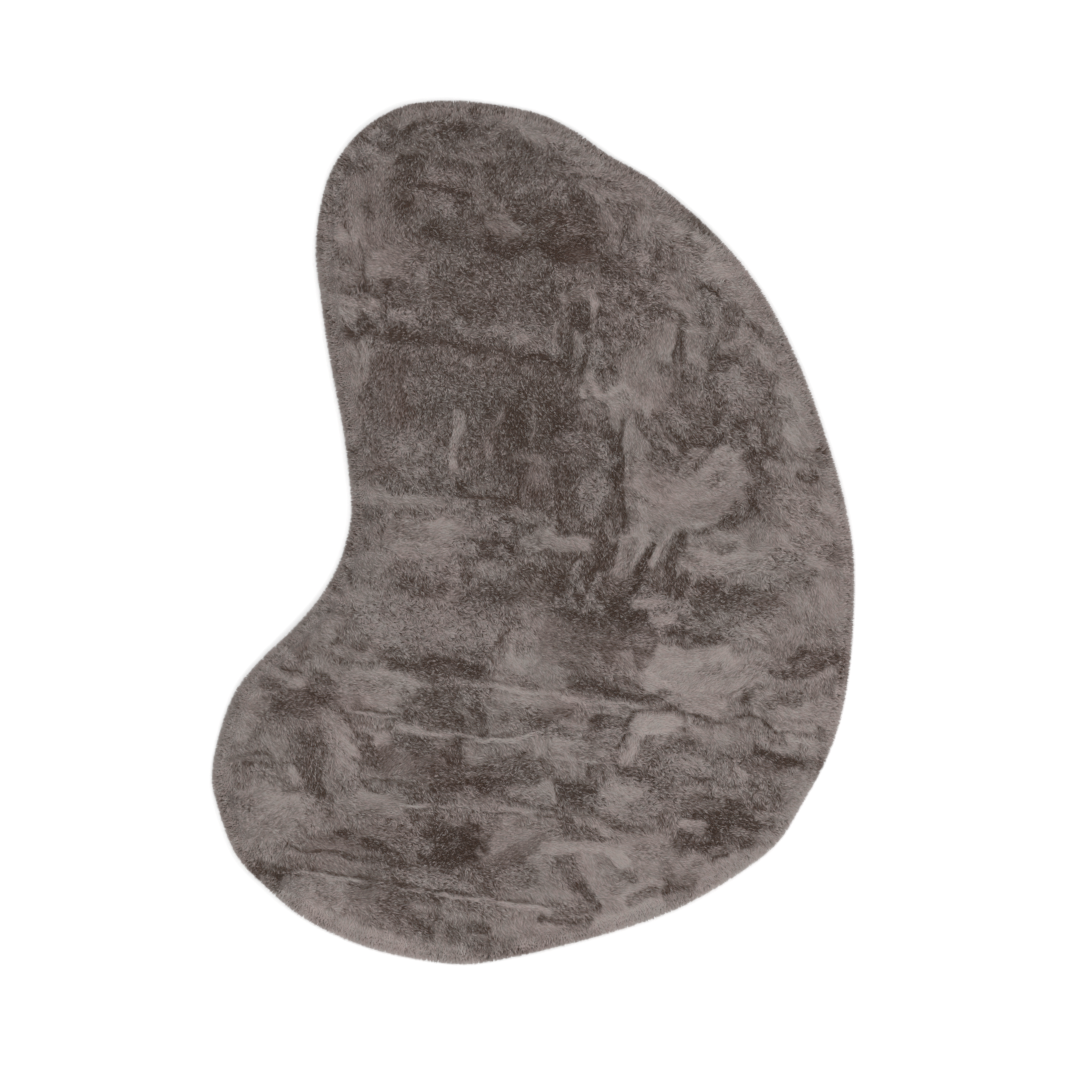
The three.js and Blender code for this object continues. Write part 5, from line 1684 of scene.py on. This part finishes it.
class RUG_OT_ground_cloth(bpy.types.Operator):
    """Makes the ground cloth with its dense underfur, which lies on the solid's folds"""

    bl_idname = "plush_rug.ground_cloth"
    bl_label = "Ground cloth"

    def execute(self, context):
        sizes = context.scene.rug_sizes
        colours = context.scene.rug_colours
        points, quads, underside = cloth_surface(Edge(), sizes)
        faces = quads.tolist() + [underside.tolist()]
        cloth = new_mesh("ground_cloth", points, faces, cloth_material(colours))
        cloth.data.materials.append(knit_material(colours))
        smooth = np.ones(len(faces), bool)
        smooth[-1] = False
        cloth.data.polygons.foreach_set("use_smooth", smooth)
        cloth.data.polygons[len(faces) - 1].material_index = 1
        # The underfur's tone: the painted light and shade of the pile over it.
        tone = cloth.data.attributes.new("tone", "FLOAT", "POINT")
        tone.data.foreach_set("value", nap(points[:, 0], points[:, 1])[0].astype(np.float32))
        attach(cloth, "root")
        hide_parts("rug")
        return {"FINISHED"}


# A lock's faces: its root face, which lies in the ground cloth, and three long ones up to its tip. Columns:
# three of its corners. The faces' strips of the map are set apart so that none is a bare line.
LOCK_FACES = np.array([(0, 2, 1), (0, 1, 3), (1, 2, 3), (2, 0, 3)])
CORNER_TONE = np.array([-0.006, 0.0, 0.006, 0.0])
CORNER_SHARE = np.array([0.0, 0.03, 0.0, 1.0])
CORNER_REACH = 0.58  # how far a corner lies from the root's middle, in widths
UPRIGHT_FROM = 0.9  # the upward part of a direction from which a lock counts as upright
TONE_MARGIN = 0.02  # how far the tones and the shares keep from the ends of their strips of the map
SHARE_MARGIN = 0.04


def lock_piece(name, locks, material, rng):
    """Many locks as one mesh. A lock is a slim spike with four faces: three corners round its root, at right
    angles to its direction, and its tip. Its map coordinates hold the tone at its root and at its tip, a
    little different on each face, whether it is warm, and the share from root to tip."""
    count = len(locks["root"])
    direction = locks["direction"]
    helper = np.where(np.abs(direction[:, 2:3]) < UPRIGHT_FROM, [[0.0, 0.0, 1.0]], [[1.0, 0.0, 0.0]])
    side = unit(np.cross(direction, helper))
    other = np.cross(direction, side)
    spin = rng.uniform(0, 2 * math.pi, count)
    reach = CORNER_REACH * locks["width"][:, None]
    corners = []
    for k in range(3):
        turn = (spin + k * 2 * math.pi / 3)[:, None]
        corners.append(locks["root"] + reach * (side * np.cos(turn) + other * np.sin(turn)))
    corners.append(locks["root"] + direction * locks["length"][:, None])
    points = np.stack(corners, 1).reshape(-1, 3)
    points[:, 2] = np.maximum(points[:, 2], FLOOR_GAP)
    faces = (4 * np.arange(count)[:, None, None] + LOCK_FACES[None]).reshape(-1, 3)
    piece = new_mesh(name, points, faces, material)
    layer = piece.data.uv_layers.new(name="OFBake", do_init=False)
    tones = np.stack([locks["tone"]] * 3 + [locks["tip_tone"]], 1)[:, LOCK_FACES]
    tones = tones + (rng.normal(0, 1, (count, 4)) * locks["facet"][:, None])[:, :, None]
    u = mix(TONE_MARGIN, 1 - TONE_MARGIN, np.clip(tones, 0, 1)) + CORNER_TONE[LOCK_FACES][None]
    shares = mix(SHARE_MARGIN, 1 - SHARE_MARGIN, CORNER_SHARE[LOCK_FACES][None])
    v = (locks["warm"][:, None, None] + shares) / 2
    layer.uv.foreach_set("vector", np.stack([u, v], -1).astype(np.float32).ravel())
    piece.data.polygons.foreach_set("use_smooth", np.ones(len(faces), bool))
    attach(piece, "root")
    return piece


def gathered(root, direction, length, tuft, pitch):
    """The directions of the locks as they gather in clumps, and what this adds to their tone, by how tufted
    the pile is. Each clump turns its own way and has its own tone, its locks' tips are drawn towards its
    middle, and the locks get painted shade where two clumps meet, in the crease between them."""
    comb = np.arctan2(direction[:, 1], direction[:, 0])
    centre_x, centre_y, border = clumps(root[:, 0], root[:, 1], comb, pitch, SEEDS["clumps"])
    # Painted shade in the creases where two clumps meet.
    meeting_painted_shade = np.exp(-((border / pitch / CLUMP_CREASE) ** 2))
    own, swirl = (hashed(np.round(centre_x * 7.0) + np.round(centre_y * 13.0) + k) - 0.5 for k in (0, 9))
    turn = swirl * CLUMP_TURN * tuft
    flat_x = direction[:, 0] * np.cos(turn) - direction[:, 1] * np.sin(turn)
    flat_y = direction[:, 0] * np.sin(turn) + direction[:, 1] * np.cos(turn)
    turned = np.stack([flat_x, flat_y, direction[:, 2]], 1)
    pull = np.stack([centre_x - root[:, 0], centre_y - root[:, 1], np.zeros(len(root))], 1) / length[:, None]
    lighter, darker, between = CLUMP_TONE
    tone = tuft * (lighter - darker * meeting_painted_shade + between * own)
    return unit(turned + pull * (CLUMP_PULL * tuft)[:, None]), tone


def dressed(root, direction, length, tones, warmth, tuft, shade, sizes, rng):
    """The locks with a width, a tone at the root and the tip, and a warmth each, all a little uneven."""
    shade = shade + rng.normal(0, 1, len(root)) * mix(*TONE_JITTER, tuft)
    return {
        "root": root,
        "direction": direction,
        "length": length,
        "width": sizes.lock_width / MM * rng.uniform(*LOCK_WIDTHS, len(root)) * mix(*WIDTH_SHARE, tuft),
        "tone": tones[0] + shade,
        "tip_tone": tones[1] + shade,
        "facet": mix(*FACET_SPREAD, tuft),
        "warm": (rng.uniform(0, 1, len(root)) < warmth).astype(float),
    }


class RUG_OT_pile(bpy.types.Operator):
    """Makes the pile over the field: locks that lean along the nap and gather in clumps"""

    bl_idname = "plush_rug.pile"
    bl_label = "Pile"

    def execute(self, context):
        sizes = context.scene.rug_sizes
        rng = np.random.default_rng(PILE_SEED)
        edge = Edge()
        spacing = sizes.lock_spacing / MM
        low, high = edge.points.min(0), edge.points.max(0)
        x, y = (grid.ravel() for grid in np.meshgrid(*(np.arange(low[i], high[i], spacing) for i in (0, 1))))
        x = x + rng.uniform(-0.5, 0.5, len(x)) * spacing
        y = y + rng.uniform(-0.5, 0.5, len(y)) * spacing
        gap = edge.gap(x, y)
        flat_from = sizes.rim_inset / MM + RIM_RADIUS
        kept = gap > flat_from - FIELD_OVERLAP
        x, y, gap = x[kept], y[kept], gap[kept]
        tone, lay, tuft, warmth, rise, comb = nap(x, y)
        lean = lean_of(lay) + rng.normal(0, LEAN_SPREAD, len(x))
        way = comb + rng.normal(0, COMB_SPREAD, len(x)) * (1 - COMB_STEADY * lay)
        direction = np.stack([np.sin(lean) * np.cos(way), np.sin(lean) * np.sin(way), np.cos(lean)], 1)
        out = edge.direction(x, y)
        outward = np.column_stack([BORDER_OUT * out, np.full(len(x), BORDER_UP)])
        border_share = smoothstep(flat_from + BORDER_WIDTH - gap, 0, BORDER_WIDTH)
        direction = unit(mix(direction, outward, border_share[:, None]))
        root = np.stack([x, y, cloth_height(x, y, sizes) + rise - ROOT_DEPTH], 1)
        length = sizes.lock_length / MM * rng.uniform(*PILE_LENGTHS, len(x))
        tuft = tuft * (1 - BORDER_EVEN * border_share)
        direction, shade = gathered(root, direction, length, tuft, sizes.clump_pitch / MM)
        tip = root + direction * length[:, None]
        tones = (tone, nap(tip[:, 0], tip[:, 1])[0])
        locks = dressed(root, direction, length, tones, warmth, tuft, shade, sizes, rng)
        order = np.argsort(y, kind="stable")
        material = pile_material(context.scene.rug_colours)
        for k, part in enumerate(np.array_split(order, math.ceil(len(x) / LOCKS_PER_PIECE))):
            lock_piece(f"pile_{k + 1}", {key: value[part] for key, value in locks.items()}, material, rng)
        return {"FINISHED"}


class RUG_OT_rim(bpy.types.Operator):
    """Makes the furry rim: rows of locks that turn outwards from the top down to the floor"""

    bl_idname = "plush_rug.rim"
    bl_label = "Rim"

    def execute(self, context):
        sizes = context.scene.rug_sizes
        rng = np.random.default_rng(RIM_SEED)
        edge = Edge()
        around = int(edge.length / (sizes.lock_spacing / MM))
        count = around * RIM_ROWS
        row = np.repeat(np.arange(RIM_ROWS), around)
        run = (np.tile(np.arange(around), RIM_ROWS) + rng.uniform(0, 1, count)) * edge.length / around
        turn = np.clip((row + rng.uniform(0, 1, count)) / RIM_ROWS, *RIM_TURNS) * math.pi / 2
        rim = edge.along(run)
        out = edge.direction(rim[:, 0], rim[:, 1])
        inset = sizes.rim_inset / MM
        start = rim - out * (inset + RIM_RADIUS)
        level = cloth_height(start[:, 0], start[:, 1], sizes)
        place = start + out * (RIM_RADIUS * np.sin(turn))[:, None]
        root = np.column_stack([place, np.maximum(rounded(level, turn), RIM_LOWEST)])
        root[:, :2] -= out * ROOT_DEPTH
        upward = (math.pi / 2 - turn) * RIM_UPWARD + rng.normal(0, LEAN_SPREAD, count)
        side = rng.normal(0, RIM_SIDE_SPREAD, count)
        across = np.stack([-out[:, 1], out[:, 0]], 1)
        flat = unit(out + across * side[:, None])
        direction = np.column_stack([flat * np.cos(upward)[:, None], np.sin(upward)])
        upper, lower = sizes.lock_length / MM, sizes.rim_lock_length / MM
        length = mix(upper, lower, turn / (math.pi / 2)) * rng.uniform(*RIM_LENGTHS, count)
        spread = rng.normal(0, RIM_BLUR, (count, 2))
        tone, _, tuft, warmth, _, _ = nap(place[:, 0] + spread[:, 0], place[:, 1] + spread[:, 1])
        # Painted light and shade on the rim: lighter on its front side, towards -y, and darker at the back.
        tone = mix(tone, RIM_TONE - RIM_PAINTED_LIGHT * out[:, 1], RIM_TONE_SHARE[0] + RIM_TONE_SHARE[1] * turn)
        tuft = mix(*RIM_TUFT, tuft) * (1 - RIM_EVEN * smoothstep(turn, *RIM_EVEN_TURNS))
        direction, shade = gathered(root, direction, length, tuft, sizes.clump_pitch / MM)
        locks = dressed(root, direction, length, (tone, tone), warmth, tuft, shade, sizes, rng)
        lock_piece("rim_pile", locks, pile_material(context.scene.rug_colours), rng)
        return {"FINISHED"}


FLOOR_HALF = 6000.0  # millimetres
FLOOR_COLOUR = (0.93, 0.93, 0.93, 1)
SKY_COLOUR = (1, 1, 1, 1)
SKY_STRENGTH = 0.75

PIXEL_MM = DRAWING_UNIT  # what one pixel of the picture covers
PIXEL_LEVEL = 15.0  # the height over the floor at which it covers that, in millimetres
FRAME_PIXELS = 1067
CAMERA_LENS = 110.0
SENSOR = 36.0
VIEW_CENTRE = (0.9, -1.85)  # where the camera looks, in millimetres from the rug's middle

# Studio lights. Columns: name, place in metres, size, power.
LIGHTS = [
    ("front", (-0.4, -3.2, 2.6), 2.0, 45.0),
    ("back", (0.6, 3.0, 3.2), 2.5, 45.0),
    ("right", (3.2, -0.5, 2.4), 2.0, 45.0),
    ("left", (-3.0, 0.2, 3.0), 2.0, 35.0),
]


class RUG_OT_stage(bpy.types.Operator):
    """Makes the pale floor, the soft studio light and the camera straight above the rug"""

    bl_idname = "plush_rug.stage"
    bl_label = "Stage"

    def execute(self, context):
        scene = context.scene
        floor_material, _, shader = new_shader("stage_floor", 0.9)
        shader.inputs["Base Color"].default_value = FLOOR_COLOUR
        corners = FLOOR_HALF * np.array([(-1, -1, 0), (1, -1, 0), (1, 1, 0), (-1, 1, 0)])
        new_mesh("floor", corners, [(0, 1, 2, 3)], floor_material)

        world = bpy.data.worlds.new("studio")
        scene.world = world
        world.use_nodes = True
        sky = world.node_tree.nodes["Background"]
        sky.inputs["Color"].default_value = SKY_COLOUR
        sky.inputs["Strength"].default_value = SKY_STRENGTH

        for name, place, size, power in LIGHTS:
            lamp = bpy.data.lights.new(name, "AREA")
            lamp.size = size
            lamp.energy = power
            light = bpy.data.objects.new(name, lamp)
            light.location = place
            light.rotation_euler = (-Vector(place)).to_track_quat("-Z", "Y").to_euler()
            scene.collection.objects.link(light)

        camera = bpy.data.objects.new("camera", bpy.data.cameras.new("camera"))
        camera.data.lens = CAMERA_LENS
        camera.data.sensor_width = SENSOR
        distance = FRAME_PIXELS * PIXEL_MM * MM * CAMERA_LENS / SENSOR
        camera.location = (VIEW_CENTRE[0] * MM, VIEW_CENTRE[1] * MM, distance + PIXEL_LEVEL * MM)
        scene.collection.objects.link(camera)
        scene.camera = camera
        scene.view_settings.view_transform = "Standard"
        return {"FINISHED"}


class RUG_PT_panel(bpy.types.Panel):
    """Lists the rug's sizes, colours and pieces"""

    bl_idname = "RUG_PT_panel"
    bl_label = "Plush rug"
    bl_space_type = "VIEW_3D"
    bl_region_type = "UI"
    bl_category = "Plush Rug"

    def draw(self, context):
        for group in (context.scene.rug_sizes, context.scene.rug_colours):
            for name in group.__annotations__:
                self.layout.prop(group, name)
        for operator in OPERATORS:
            self.layout.operator(operator.bl_idname)


OPERATORS = (RUG_OT_stage, RUG_OT_ground_cloth, RUG_OT_pile, RUG_OT_rim)
CLASSES = (RugSizes, RugColours, *OPERATORS, RUG_PT_panel)


def register():
    for cls in CLASSES:
        bpy.utils.register_class(cls)
    bpy.types.Scene.rug_sizes = bpy.props.PointerProperty(type=RugSizes)
    bpy.types.Scene.rug_colours = bpy.props.PointerProperty(type=RugColours)


def unregister():
    del bpy.types.Scene.rug_sizes
    del bpy.types.Scene.rug_colours
    for cls in reversed(CLASSES):
        bpy.utils.unregister_class(cls)


def main():
    register()
    bpy.ops.plush_rug.stage()
    bpy.ops.plush_rug.ground_cloth()
    bpy.ops.plush_rug.pile()
    bpy.ops.plush_rug.rim()


if __name__ == "__main__":
    main()
